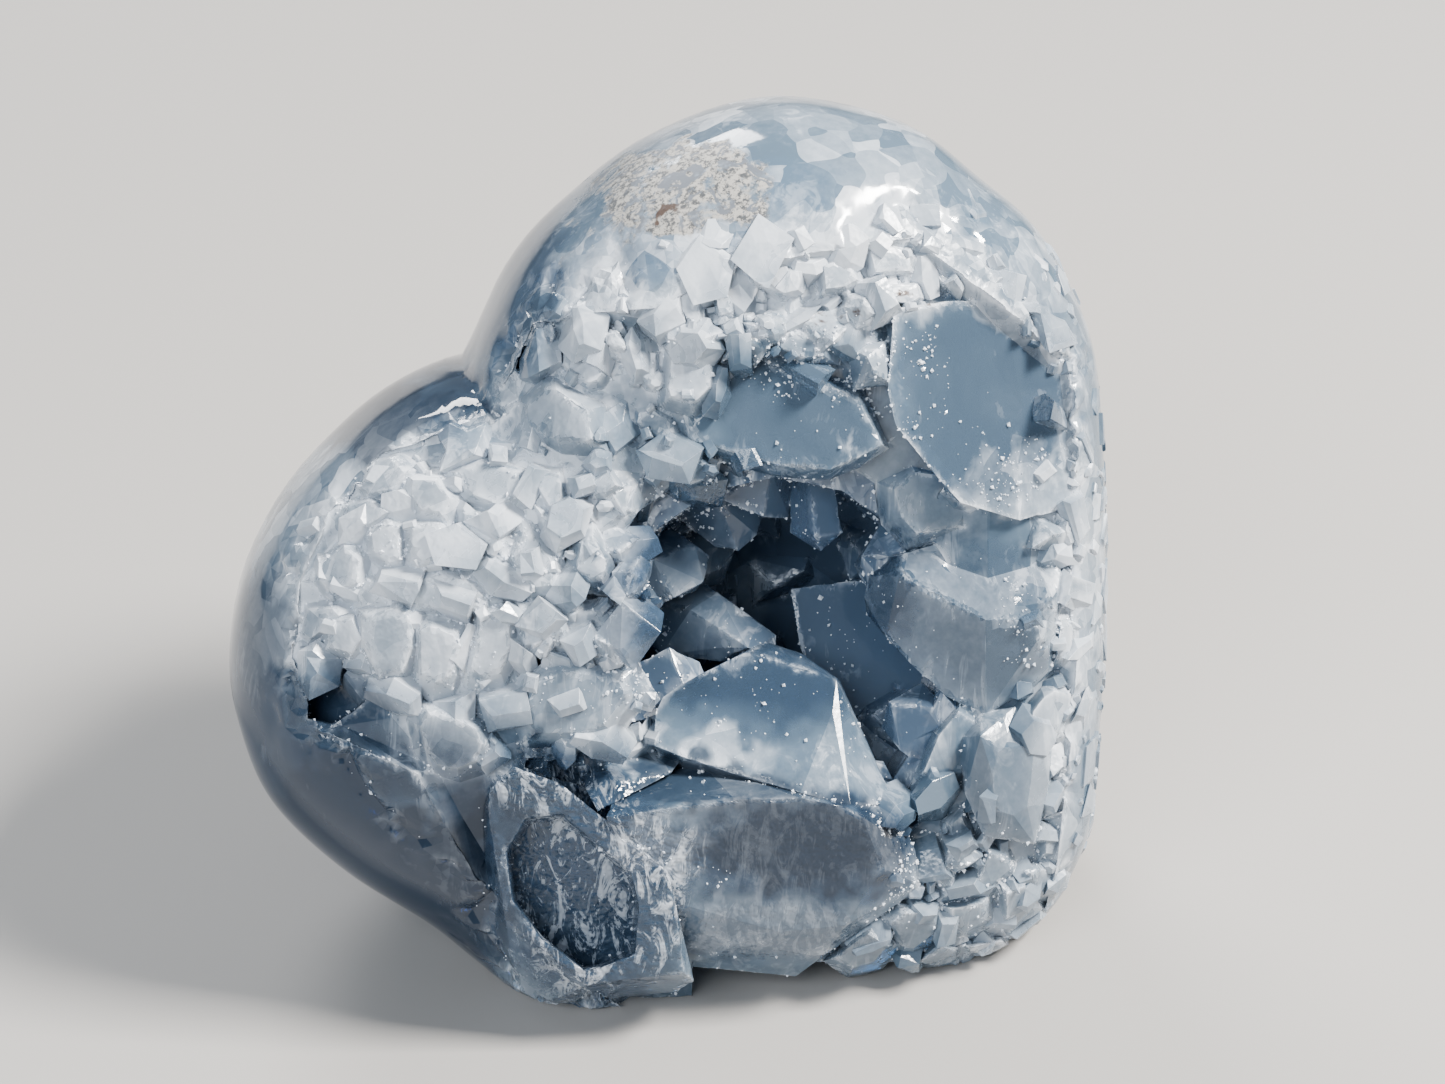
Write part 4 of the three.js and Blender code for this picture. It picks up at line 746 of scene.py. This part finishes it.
def build_body(material):
    points, triangles = read_solid("heart_body")
    wall = wall_behind()
    wanted = split_lengths(
        (points, triangles), BODY_LENGTHS,
        lambda places: ((places - CENTRE) @ FACE_OUT < HIDDEN_BEHIND) | wall(places),
    )
    close = (abs(skin_level(points)[triangles] - 1) < SKIN_NEAR).all(axis=1)
    over_foot = (points[triangles][:, :, 2] > FOOT_TOP).any(axis=1)
    middles = points[triangles].mean(axis=1)
    along = np.einsum("ij,ij->i", face_normals(points, triangles), skin_normals(middles))
    groups = close & over_foot & (along > SKIN_ALONG)
    points, triangles, groups = refined(points, triangles, groups, wanted)

    # The polished skin: flat steps of the solid become its own smooth curve.
    skin = np.zeros(len(points), bool)
    skin[triangles[groups].reshape(-1)] = True
    triangles = flipped_to_even(points, triangles)
    points = evened(points, triangles)
    level = skin_level(points)
    moved = skin & (points[:, 2] > FOOT_TOP)
    points[moved] = CENTRE + (points[moved] - CENTRE) / level[moved, None]
    points[:, 2] = np.maximum(points[:, 2], 0)
    average = flattest(points, triangles)[1]
    outward = skin_normals(points)

    front = smooth_step((points - CENTRE) @ FACE_OUT, *FRONT_FADE)
    toward = outward @ EYE_TOWARD
    seen = smooth_step(toward, *SEEN_FADE)
    places = ragged_sight(points)
    behind = smooth_step(seen, *BEHIND_FADE)
    frost = zone_share(places, FROST_ZONES) * seen
    frost += BEHIND_FROST * behind * patches(points, "pale grains behind")
    sand = zone_share(places, SAND_ZONES) * smooth_step(toward, *SAND_FADE)
    sand += behind * patches(points, "matrix behind")
    # Painted shade on the skin, and the dark tint with painted shade elsewhere.
    smoky = np.maximum(zone_share(places, SHADED_SKIN_ZONES) * skin, zone_share(places, DARK_TINT_AND_SHADE_ZONES))
    points = chipped(points, triangles, average * front[:, None])

    # The polish breaks off in flakes where it meets the broken front.
    border = np.zeros(len(points))
    border[skin & ~on_all(triangles, skin, len(points))] = 1
    border = spread(points, edge_list(triangles)[0], border, *FLAKE_FADE) * front
    points -= outward * (FLAKE_DEPTH * border * patches(points, "flakes"))[:, None]
    points[:, 2] = np.maximum(points[:, 2], 0)
    finish_stone(
        "celestite_heart", points, triangles, material, skin, "heart_body",
        frost=frost, deep=zone_share(places, DEEP_ZONES) * seen,
        sand=sand, etched=zone_share(sight(points), ETCHED_ZONES) * seen,
        smoky=smoky * seen, rust=zone_share(places, RUST_ZONES) * seen,
    )
    return points, triangles


# Small crystals between the large ones, in millimetres: the least width, how much wider the
# widest are, and how strongly small widths prevail.
CROWD_WIDTH = (1.1, 5.0)
CROWD_POWER = 2.2
# They stand apart by this share of two neighbours' widths.
CROWD_SPACING = 0.38
CROWD_ROOT = 1.6
CROWD_TILT = 0.5
CROWD_ALONG_FACE = 0.3
# How far they rise: in shares of their width, and in millimetres more in low places.
CROWD_RISE = (0.05, 0.45)
CROWD_LOW_RISE = (0.2, 1.6)
CROWD_EDGE = 0.06
# The ridge value of the bevel faces, which paints a highlight on them.
CROWD_RIDGE = 0.4
# Where they stand.
CROWD_ANYWHERE = 0.06
CROWD_IN_CLEFTS = 1.6
CROWD_IN_LOW = 0.35
CROWD_ON_LEDGES = 0.3
# Stone under the first level is broken, and under the fade low.
BROKEN_LEVEL = 0.985
LOW_FADE = (0.97, 0.86)
# On a ledge they stand where it is at least this strong and faces the eye this much.
LEDGE_LEAST = 0.5
LEDGE_FACING = -0.35
CRYSTAL_TINTS = 0.65
FACE_TINTS = 0.35
# Between these heights over the stone their sides stop being white: painted light that lifts the shade
# at their roots.
ROOT_WHITE = (0.2, 1.6)
# How far out of the heart's centre they reach, where the polished skin is at 1.
CROWD_TOP = 1.006
# Nothing small comes nearer to the floor.
OVER_FLOOR = 0.02


def triangle_spots(points, triangles):
    """The corners of triangles, their middles and their crossed sides."""
    corners = points[triangles]
    cross = np.cross(corners[:, 1] - corners[:, 0], corners[:, 2] - corners[:, 0])
    return corners, corners.mean(axis=1), cross


def crowd_seats(points, triangles, draw, count):
    """Where small crystals stand on the broken front, the way they point, and their widths."""
    _, middles, cross = triangle_spots(points, triangles)
    level = skin_level(middles)
    outward = skin_normals(middles)
    facing = outward @ EYE_TOWARD
    low = smooth_step(level, *LOW_FADE)
    zone = zone_share(ragged_sight(middles), CROWD_ZONES)
    ledge = zone_share(sight(middles), LEDGE_ZONES)
    broken = (level < BROKEN_LEVEL) & (facing > 0)
    broken |= (ledge > LEDGE_LEAST) & (facing > LEDGE_FACING)
    liking = CROWD_ANYWHERE + CROWD_IN_CLEFTS * clefts(points, triangles)
    liking = liking + CROWD_IN_LOW * low + CROWD_ON_LEDGES * ledge
    weight = np.linalg.norm(cross, axis=1) * zone * broken * liking
    chosen = draw.choice(len(triangles), size=count, p=weight / weight.sum())
    least, wider = CROWD_WIDTH
    width = np.sort(least + wider * draw.random(count) ** CROWD_POWER)[::-1]
    seats = middles[chosen]
    kept = []
    for i in range(count):
        away = np.linalg.norm(seats[kept] - seats[i], axis=1)
        if (away > CROWD_SPACING * (width[kept] + width[i])).all():
            kept.append(i)
    chosen, width = chosen[kept], width[kept]
    lean = unit(draw.normal(size=(len(kept), 3)))
    ways = unit(outward[chosen] + CROWD_TILT * lean + CROWD_ALONG_FACE * unit(cross[chosen]))
    return seats[kept], ways, width, low[chosen]


# A small crystal: its numbers of sides, how far its corners turn, its thickness, what is left of
# its section at the top, how the top shifts and slants, and how high its roof is, for its width.
CRYSTAL_SIDES = (4, 4, 4, 5, 6)
CORNER_TURN = (-0.1, 0.1)
THICKNESS = (0.5, 1)
TOP_LONG = (0.5, 0.95)
TOP_ACROSS = (0.12, 0.7)
TOP_SHIFT = (-0.12, 0.12)
TOP_SLANT = (-0.4, 0.4)
ROOF = (0.12, 0.45)
SECTION_REACH = 0.55
FOOT_SHARE = 0.85


def blocky_crystal(draw, width, length):
    """Corners of a crystal on its foot, ring by ring: flat sides, a roof and a slanting top."""
    sides = int(draw.choice(CRYSTAL_SIDES))
    angles = (np.arange(sides) + 0.5 + draw.uniform(*CORNER_TURN, sides)) * 2 * math.pi / sides
    section = np.stack([np.cos(angles), np.sin(angles) * draw.uniform(*THICKNESS)], axis=1)
    section = section * width * SECTION_REACH
    top = section * (draw.uniform(*TOP_LONG), draw.uniform(*TOP_ACROSS))
    top = top + draw.uniform(*TOP_SHIFT, 2) * width
    slant = draw.uniform(*TOP_SLANT, 2)
    roof = width * draw.uniform(*ROOF)
    rings = ((section * FOOT_SHARE, 0), (section, length - roof), (top, length))
    corners = np.concatenate([np.column_stack([flat, high + flat @ slant]) for flat, high in rings])
    faces = [tuple(range(sides))[::-1], tuple(range(2 * sides, 3 * sides))]
    for ring in (0, sides):
        for i in range(sides):
            j = (i + 1) % sides
            faces.append((ring + i, ring + j, ring + sides + j, ring + sides + i))
    return corners, faces


def bevelled(mesh, tints):
    """Bevels all edges of the crystals in a mesh, gives each face its tint, and gives the bevel faces a
    ridge value that paints a highlight on them.
    """
    net = bmesh.new()
    net.from_mesh(mesh)
    facet = net.faces.layers.float.new("facet")
    ridge = net.faces.layers.float.new("ridge")
    for face, tint in zip(net.faces, tints):
        face[facet] = tint
    made = bmesh.ops.bevel(
        net, geom=net.edges[:], offset=CROWD_EDGE, segments=1, affect="EDGES", clamp_overlap=True,
    )
    for face in made["faces"]:
        face[ridge] = CROWD_RIDGE
    bmesh.ops.triangulate(net, faces=net.faces[:])
    net.to_mesh(mesh)
    net.free()


def build_crowd(stone, material, count, seed):
    draw = np.random.default_rng(seed)
    corners, faces, tints, total = [], [], [], 0
    for seat, way, width, low in zip(*crowd_seats(*stone, draw, count)):
        rise = width * draw.uniform(*CROWD_RISE) + low * draw.uniform(*CROWD_LOW_RISE)
        shape, sides = blocky_crystal(draw, width, CROWD_ROOT + rise)
        first = unit(np.cross(way, draw.normal(size=3)))
        turned = shape @ np.stack([first, np.cross(way, first), way])
        corners.append(seat + turned - way * CROWD_ROOT)
        faces += [tuple(total + k for k in face) for face in sides]
        tints += list(CRYSTAL_TINTS * draw.random() + FACE_TINTS * draw.random(len(sides)))
        total += len(shape)
    points = np.concatenate(corners)
    level = skin_level(points)[:, None]
    points = np.where(level > CROWD_TOP, CENTRE + (points - CENTRE) * CROWD_TOP / level, points)
    points[:, 2] = np.maximum(points[:, 2], OVER_FLOOR)
    mesh = bpy.data.meshes.new("small_crystals")
    mesh.from_pydata(points, [], faces)
    bevelled(mesh, tints)
    points = mesh_points(mesh)
    places = ragged_sight(points)
    zones = {
        "frost": FROST_ZONES, "deep": DEEP_ZONES, "etched": ETCHED_ZONES,
        "smoky": DARK_TINT_AND_SHADE_ZONES, "rust": RUST_ZONES,
    }
    for label, table in zones.items():
        put_values(mesh, "POINT", label, zone_share(places, table))
    tree = BVHTree.FromPolygons(*(part.tolist() for part in stone))
    heights = []
    for point in points:
        found, normal, _, _ = tree.find_nearest(Vector(point))
        heights.append((Vector(point) - found) @ normal)
    # Painted light: the sides of the small crystals are whitened near the stone, where shade falls
    # between them.
    put_values(mesh, "POINT", "valley", 1 - smooth_step(np.array(heights), *ROOT_WHITE))
    mesh.vertices.foreach_set("co", (points * MM).reshape(-1))
    mesh.materials.append(material)
    crowd = add_object("small_crystals", mesh)
    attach(crowd, "root")


# Crumbs in millimetres: the least size, how much larger the largest are, how strongly small ones
# prevail, and in sizes how far their corners reach and how far out their middles are.
CRUMB_SIZE = (0.05, 0.2)
CRUMB_POWER = 4
CRUMB_REACH = (0.7, 1.5)
CRUMB_OUT = 0.25
# Where they lie.
CRUMBS_IN_ZONE = 0.12
CRUMBS_IN_ZONE_CLEFTS = 1.5
CRUMBS_IN_CLEFTS = 0.25
CRUMBS_ANYWHERE = 0.01
# The weighed area that holds the full count.
CRUMB_AREA = 2500


def build_crumbs(stones, material, count, seed):
    """Small bright chips that cling to faces and fill the clefts between crystals."""
    draw = np.random.default_rng(seed)
    places, normals = [], []
    for points, triangles in stones:
        corners, middles, cross = triangle_spots(points, triangles)
        area = np.linalg.norm(cross, axis=1) / 2
        valley = clefts(points, triangles)
        zone = zone_share(ragged_sight(middles), CRUMB_ZONES)
        broken = (skin_level(middles) < BROKEN_LEVEL) & (skin_normals(middles) @ EYE_TOWARD > 0)
        liking = zone * (CRUMBS_IN_ZONE + patches(middles, "bunches") + CRUMBS_IN_ZONE_CLEFTS * valley)
        weight = area * broken * (liking + CRUMBS_IN_CLEFTS * valley + CRUMBS_ANYWHERE)
        total = weight.sum()
        wanted = int(count * min(1, total / CRUMB_AREA))
        chosen = draw.choice(len(triangles), size=wanted, p=weight / total)
        shares = draw.dirichlet((1, 1, 1), len(chosen))
        places.append((corners[chosen] * shares[:, :, None]).sum(axis=1))
        normals.append(unit(cross[chosen]))
    places, normals = np.concatenate(places), np.concatenate(normals)
    total = len(places)
    least, larger = CRUMB_SIZE
    size = least + larger * draw.random(total) ** CRUMB_POWER
    ends = np.concatenate([np.eye(3), -np.eye(3)])
    faces = np.array([(a, b, c) for a in (0, 3) for b in (1, 4) for c in (2, 5)])
    inward = np.array([(a == 3) ^ (b == 4) ^ (c == 5) for a, b, c in faces])
    faces[inward] = faces[inward][:, ::-1]
    first = unit(draw.normal(size=(total, 3)))
    second = unit(np.cross(first, unit(draw.normal(size=(total, 3)))))
    turn = np.stack([first, second, np.cross(first, second)], axis=1)
    shape = ends * draw.uniform(*CRUMB_REACH, (total, len(ends), 1))
    points = places[:, None, :] + normals[:, None, :] * (size * CRUMB_OUT)[:, None, None]
    points = points + (shape @ turn) * size[:, None, None]
    triangles = faces[None] + len(ends) * np.arange(total)[:, None, None]
    points = points.reshape(-1, 3)
    points[:, 2] = np.maximum(points[:, 2], OVER_FLOOR)
    flat = np.zeros(total * len(faces), bool)
    crumbs = mesh_object("crumbs", points, triangles.reshape(-1, 3), material, flat, {}, {})
    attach(crumbs, "root")


class Graph:
    """A material's nodes, made one at a time."""

    def __init__(self, name):
        self.material = bpy.data.materials.new(name)
        self.material.use_nodes = True
        self.tree = self.material.node_tree
        self.shader = self.tree.nodes["Principled BSDF"]
        self.output = self.tree.nodes["Material Output"]

    def put(self, value, socket):
        if isinstance(value, bpy.types.NodeSocket):
            self.tree.links.new(value, socket)
        else:
            socket.default_value = value

    def set(self, name, value):
        self.put(value, self.shader.inputs[name])

    def node(self, kind, values=(), **settings):
        made = self.tree.nodes.new("ShaderNode" + kind)
        for name, value in settings.items():
            setattr(made, name, value)
        for name, value in dict(values).items():
            self.put(value, made.inputs[name])
        return made

    def math(self, operation, *values):
        made = self.node("Math", operation=operation)
        for value, socket in zip(values, made.inputs):
            self.put(value, socket)
        return made.outputs[0]

    def times(self, one, other):
        return self.math("MULTIPLY", one, other)

    def less(self, one, other):
        return self.math("SUBTRACT", one, other)

    def add(self, value, amount, to):
        """To, with amount times value added."""
        return self.math("MULTIPLY_ADD", value, amount, to)

    def mix(self, share, low, high):
        """Numbers mixed by share."""
        made = self.node("Mix", {0: share}, data_type="FLOAT")
        self.put(low, made.inputs[2])
        self.put(high, made.inputs[3])
        return made.outputs[0]

    def tint(self, share, low, high):
        """Colours mixed by share."""
        made = self.node("Mix", {0: share}, data_type="RGBA")
        for value, socket in ((low, made.inputs[6]), (high, made.inputs[7])):
            self.put((*value, 1) if isinstance(value, tuple) else value, socket)
        return made.outputs[2]

    def ramp(self, value, low, high):
        """0 to 1 as value goes from low to high, and flat outside."""
        made = self.node("MapRange", {"Value": value, "From Min": low, "From Max": high})
        made.interpolation_type = "SMOOTHSTEP"
        return made.outputs[0]

    def attribute(self, name):
        return self.node("Attribute", attribute_name=name).outputs["Fac"]

    def noise(self, vector, scale, detail, rough=0.5, twist=0.0):
        made = self.node("TexNoise", {
            "Vector": vector, "Scale": scale, "Detail": detail, "Roughness": rough, "Distortion": twist,
        })
        return made.outputs["Fac"]

    def stretched(self, vector, scale, turn):
        made = self.node("Mapping", {"Vector": vector, "Scale": scale, "Rotation": turn})
        return made.outputs[0]


# Patterns in the stone: fineness per metre, detail, roughness and twist, and how some are drawn
# out and turned.
CLOUDS = (95, 3, 0.6, 0.8)
WISPS = (420, 3, 0.65, 1.5)
WISP_LIE = ((1, 1, 0.22), (0.5, 0.35, 0.2))
BANKS = (75, 2, 0.55)
BANK_LIE = ((1, 1, 0.45), (0.3, 0.2, 0))
SWIRLS = (520, 4, 0.75, 1.6)
SWIRL_LIE = ((1, 0.5, 0.4), (0.3, 0.9, 0.4))
GRAINS = (1100, 2, 0.6)
MATRIX_SPREAD = (340, 3, 0.75)
MATRIX_GRAINS = (1500, 3, 0.85)
PITS = (650, 2, 0.7)
TILE_FINENESS = 330.0
TILE_BEND = 0.006
CRUMB_MOTTLE = (900, 1)

# What each adds to the whiteness of the stone, from 0 for clear to 1 for broken crystal; the edges and
# rims add painted highlights, and the clefts painted light as well as frost.
WHITENESS = {
    "frost": 0.54, "tiles": 1.1, "faces": 0.32, "veils": 0.34, "banks": 0.75, "depth": -0.22,
    "clefts": 0.6, "rims": 0.2, "edges": 0.55, "grains": 0.3, "swirls": 1.05,
}
# The values at which these patterns add nothing.
TILE_MIDDLE = 0.5
FACE_MIDDLE = 0.4
BANK_MIDDLE = 0.48
GRAIN_MIDDLE = 0.5
# How much tiles show on broken stone, and how far etching hides edges.
TILES_ON_BROKEN = 0.3
ETCHING_HIDES = -0.8
# How far the dark tint and painted shade take away whiteness, and how far they and whiteness take away
# clearness.
DARK_TINT_AND_SHADE_DIMS = -0.75
DULLING = -0.85

MIST = (0.28, 0.38, 0.50)
MIST_SHARE = 0.45
# The dark blue of the tinted stone and of the painted shade.
DARK_TINT_AND_SHADE_BLUE = (0.028, 0.046, 0.075)
BROKEN_AND_PAINTED_LIGHT_WHITE = (0.64, 0.68, 0.73)
EARTH_DARK = (0.06, 0.056, 0.052)
EARTH_LIGHT = (0.44, 0.41, 0.365)
EARTH_BLUE = (0.13, 0.14, 0.16)
EARTH_SHARE = 0.9
RUST = (0.09, 0.058, 0.045)
CELESTITE_IOR = 1.63
ABSORBED_TO = (0.22, 0.52, 0.78, 1)
ABSORPTION = 45.0


def whiteness(g, place, wisps, clouds, grains, at):
    """How white the stone is, from its patterns and from what is known at its vertices, with painted
    highlights on its edges and painted light in its clefts.
    """
    wobble = g.node("TexNoise", {"Vector": place, "Scale": 160.0, "Detail": 1.0})
    bent = g.node("MixRGB", {"Fac": TILE_BEND, "Color1": place, "Color2": wobble.outputs["Color"]})
    cells = g.node("TexVoronoi", {"Vector": bent.outputs[0], "Scale": TILE_FINENESS})
    tiles = g.node("SeparateColor", {"Color": cells.outputs["Color"]}).outputs[0]
    tiled = g.times(at["frost"], g.mix(at["polish"], TILES_ON_BROKEN, 1.0))
    veils = g.ramp(g.times(g.ramp(clouds, 0.35, 0.75), g.ramp(wisps, 0.42, 0.68)), 0.05, 0.7)
    banks = g.noise(g.stretched(place, *BANK_LIE), *BANKS)
    calm = g.add(at["etched"], ETCHING_HIDES, 1.0)
    swirls = g.noise(g.stretched(place, *SWIRL_LIE), *SWIRLS)
    added = {
        "tiles": g.times(g.less(tiles, TILE_MIDDLE), tiled),
        "faces": g.less(at["facet"], FACE_MIDDLE),
        "veils": veils,
        "banks": g.less(banks, BANK_MIDDLE),
        "depth": at["deep"],
        # Clefts in frosted stone are whitened: partly frost, partly painted light that lifts their
        # shade.
        "clefts": g.times(at["valley"], at["frost"]),
        # Painted highlights along the edges that stand out and in a band round them, partly white
        # chips.
        "rims": g.times(at["rim"], calm),
        "edges": g.times(at["ridge"], g.times(g.ramp(wisps, 0.38, 0.6), calm)),
        "grains": g.less(grains, GRAIN_MIDDLE),
        "swirls": g.times(at["etched"], g.ramp(swirls, 0.47, 0.6)),
    }
    white = g.times(at["frost"], WHITENESS["frost"])
    for name, value in added.items():
        white = g.add(value, WHITENESS[name], white)
    # The dark tint and painted shade take whiteness away.
    white = g.times(white, g.add(at["smoky"], DARK_TINT_AND_SHADE_DIMS, 1.0))
    return g.node("Clamp", {"Value": white}).outputs[0]


def celestite(name, milk, clear, milk_share, clear_share):
    """Celestite that is clear blue in its depth, milky in veils and white where it is broken small."""
    g = Graph(name)
    place = g.node("TexCoord").outputs["Object"]
    labels = "frost deep sand etched ridge valley rim smoky rust polish facet"
    at = {label: g.attribute(label) for label in labels.split()}
    clouds = g.noise(place, *CLOUDS)
    wisps = g.noise(g.stretched(place, *WISP_LIE), *WISPS)
    grains = g.noise(place, *GRAINS)
    white = whiteness(g, place, wisps, clouds, grains, at)

    colour = g.tint(at["deep"], milk, clear)
    colour = g.tint(g.times(g.ramp(clouds, 0.4, 0.75), MIST_SHARE), colour, MIST)
    # The dark tint and painted shade pull the colour to dark blue.
    colour = g.tint(at["smoky"], colour, DARK_TINT_AND_SHADE_BLUE)
    colour = g.tint(white, colour, BROKEN_AND_PAINTED_LIGHT_WHITE)
    matrix = g.ramp(g.add(g.noise(place, *MATRIX_SPREAD), 1.5, at["sand"]), 1.4, 1.7)
    earth = g.tint(g.ramp(g.noise(place, *MATRIX_GRAINS), 0.4, 0.56), EARTH_DARK, EARTH_LIGHT)
    earth = g.tint(g.ramp(wisps, 0.5, 0.57), earth, EARTH_BLUE)
    colour = g.tint(g.times(matrix, EARTH_SHARE), colour, earth)
    colour = g.tint(g.ramp(g.add(grains, 0.7, at["rust"]), 0.95, 1.15), colour, RUST)
    g.set("Base Color", colour)

    see_through = g.mix(at["deep"], milk_share, clear_share)
    # Whiteness and the dark tint with painted shade make the stone less see-through.
    for dulled_by in (white, at["smoky"]):
        see_through = g.times(see_through, g.add(dulled_by, DULLING, 1.0))
    see_through = g.times(see_through, g.less(1.0, matrix))
    g.set("Transmission Weight", see_through)

    rough = g.add(white, 0.25, g.mix(at["facet"], 0.05, 0.2))
    rough = g.mix(at["polish"], rough, g.add(white, 0.12, 0.06))
    rough = g.mix(matrix, rough, 0.6)
    g.set("Roughness", rough)

    pits = g.add(at["sand"], 1.0, g.add(at["etched"], 1.2, 0.07))
    pits = g.add(at["frost"], 0.15, pits)
    relief = g.times(g.noise(place, *PITS), pits)
    relief = g.times(relief, g.mix(at["polish"], 1.0, 0.1))
    bump = g.node("Bump", {"Height": relief, "Strength": 0.8, "Distance": 0.0006})
    g.set("Normal", bump.outputs[0])

    g.set("IOR", CELESTITE_IOR)
    absorption = g.node("VolumeAbsorption", {"Color": ABSORBED_TO, "Density": ABSORPTION})
    g.tree.links.new(absorption.outputs[0], g.output.inputs["Volume"])
    return g.material


def crumb_material():
    g = Graph("crumbs")
    place = g.node("TexCoord").outputs["Object"]
    colour = g.tint(g.noise(place, *CRUMB_MOTTLE), (0.62, 0.70, 0.80), (0.95, 0.96, 0.98))
    g.set("Base Color", colour)
    g.set("Roughness", 0.15)
    g.set("IOR", CELESTITE_IOR)
    return g.material


def turn_toward(thing, direction):
    thing.rotation_mode = "QUATERNION"
    thing.rotation_quaternion = direction.to_track_quat("-Z", "Y")


def place_camera():
    data = bpy.data.cameras.new("camera")
    data.sensor_width = 36
    data.lens = data.sensor_width * EYE_DISTANCE / VIEW_WIDTH
    data.clip_start = 0.01
    data.clip_end = 20
    camera = add_object("camera", data)
    camera.location = Vector((AIM + EYE_TOWARD * EYE_DISTANCE) * MM)
    turn_toward(camera, Vector(-EYE_TOWARD))
    bpy.context.scene.camera = camera


# Soft lights: name, place in metres, size, power and colour.
LIGHTS = [
    ("key", (0.50, -0.13, 0.62), 0.2, 15, (1, 0.97, 0.92)),
    ("fill", (-0.34, -0.48, 0.44), 0.4, 3.2, (0.9, 0.95, 1)),
    ("back", (-0.15, 0.6, 0.5), 0.3, 4, (1, 1, 1)),
]
FLOOR_HALF = 3.0
FLOOR_COLOUR = (0.40, 0.385, 0.37, 1)
FLOOR_ROUGHNESS = 0.9
SKY_COLOUR = (0.75, 0.84, 0.95, 1)
SKY_STRENGTH = 0.32


def area_light(name, place, size, power, colour):
    data = bpy.data.lights.new(name, "AREA")
    data.size = size
    data.energy = power
    data.color = colour
    lamp = add_object(name, data)
    lamp.location = Vector(place)
    turn_toward(lamp, Vector(AIM * MM) - lamp.location)


def build_stage():
    mesh = bpy.data.meshes.new("floor")
    corners = [(x * FLOOR_HALF, y * FLOOR_HALF, 0) for x, y in ((-1, -1), (1, -1), (1, 1), (-1, 1))]
    mesh.from_pydata(corners, [], [(0, 1, 2, 3)])
    material = bpy.data.materials.new("floor")
    material.use_nodes = True
    shader = material.node_tree.nodes["Principled BSDF"]
    shader.inputs["Base Color"].default_value = FLOOR_COLOUR
    shader.inputs["Roughness"].default_value = FLOOR_ROUGHNESS
    mesh.materials.append(material)
    floor = add_object("floor", mesh)
    world = bpy.data.worlds.new("world")
    world.use_nodes = True
    sky = world.node_tree.nodes["Background"]
    sky.inputs["Color"].default_value = SKY_COLOUR
    sky.inputs["Strength"].default_value = SKY_STRENGTH
    bpy.context.scene.world = world
    for light in LIGHTS:
        area_light(*light)
    bpy.context.scene.cycles.use_denoising = True
    bpy.context.scene.view_settings.look = "AgX - Medium High Contrast"


# The stone's two looks: its milky and clear colours, and how see-through each is.
BODY_LOOK = ((0.225, 0.315, 0.41), (0.125, 0.2, 0.31), 0.5, 0.75)
CRUST_LOOK = ((0.32, 0.42, 0.54), (0.18, 0.26, 0.38), 0.4, 0.55)
# How many small crystals and crumbs are tried, and their seeds.
CROWD_TRIED = 2200
CROWD_SEED = 3
CRUMBS_TRIED = 14000
CRUMB_SEED = 5

place_camera()
build_stage()
body = build_body(celestite("body", *BODY_LOOK))
crust = build_crust(celestite("crust", *CRUST_LOOK))
build_crowd(body, bpy.data.materials["body"], CROWD_TRIED, CROWD_SEED)
build_crumbs([body, crust], crumb_material(), CRUMBS_TRIED, CRUMB_SEED)
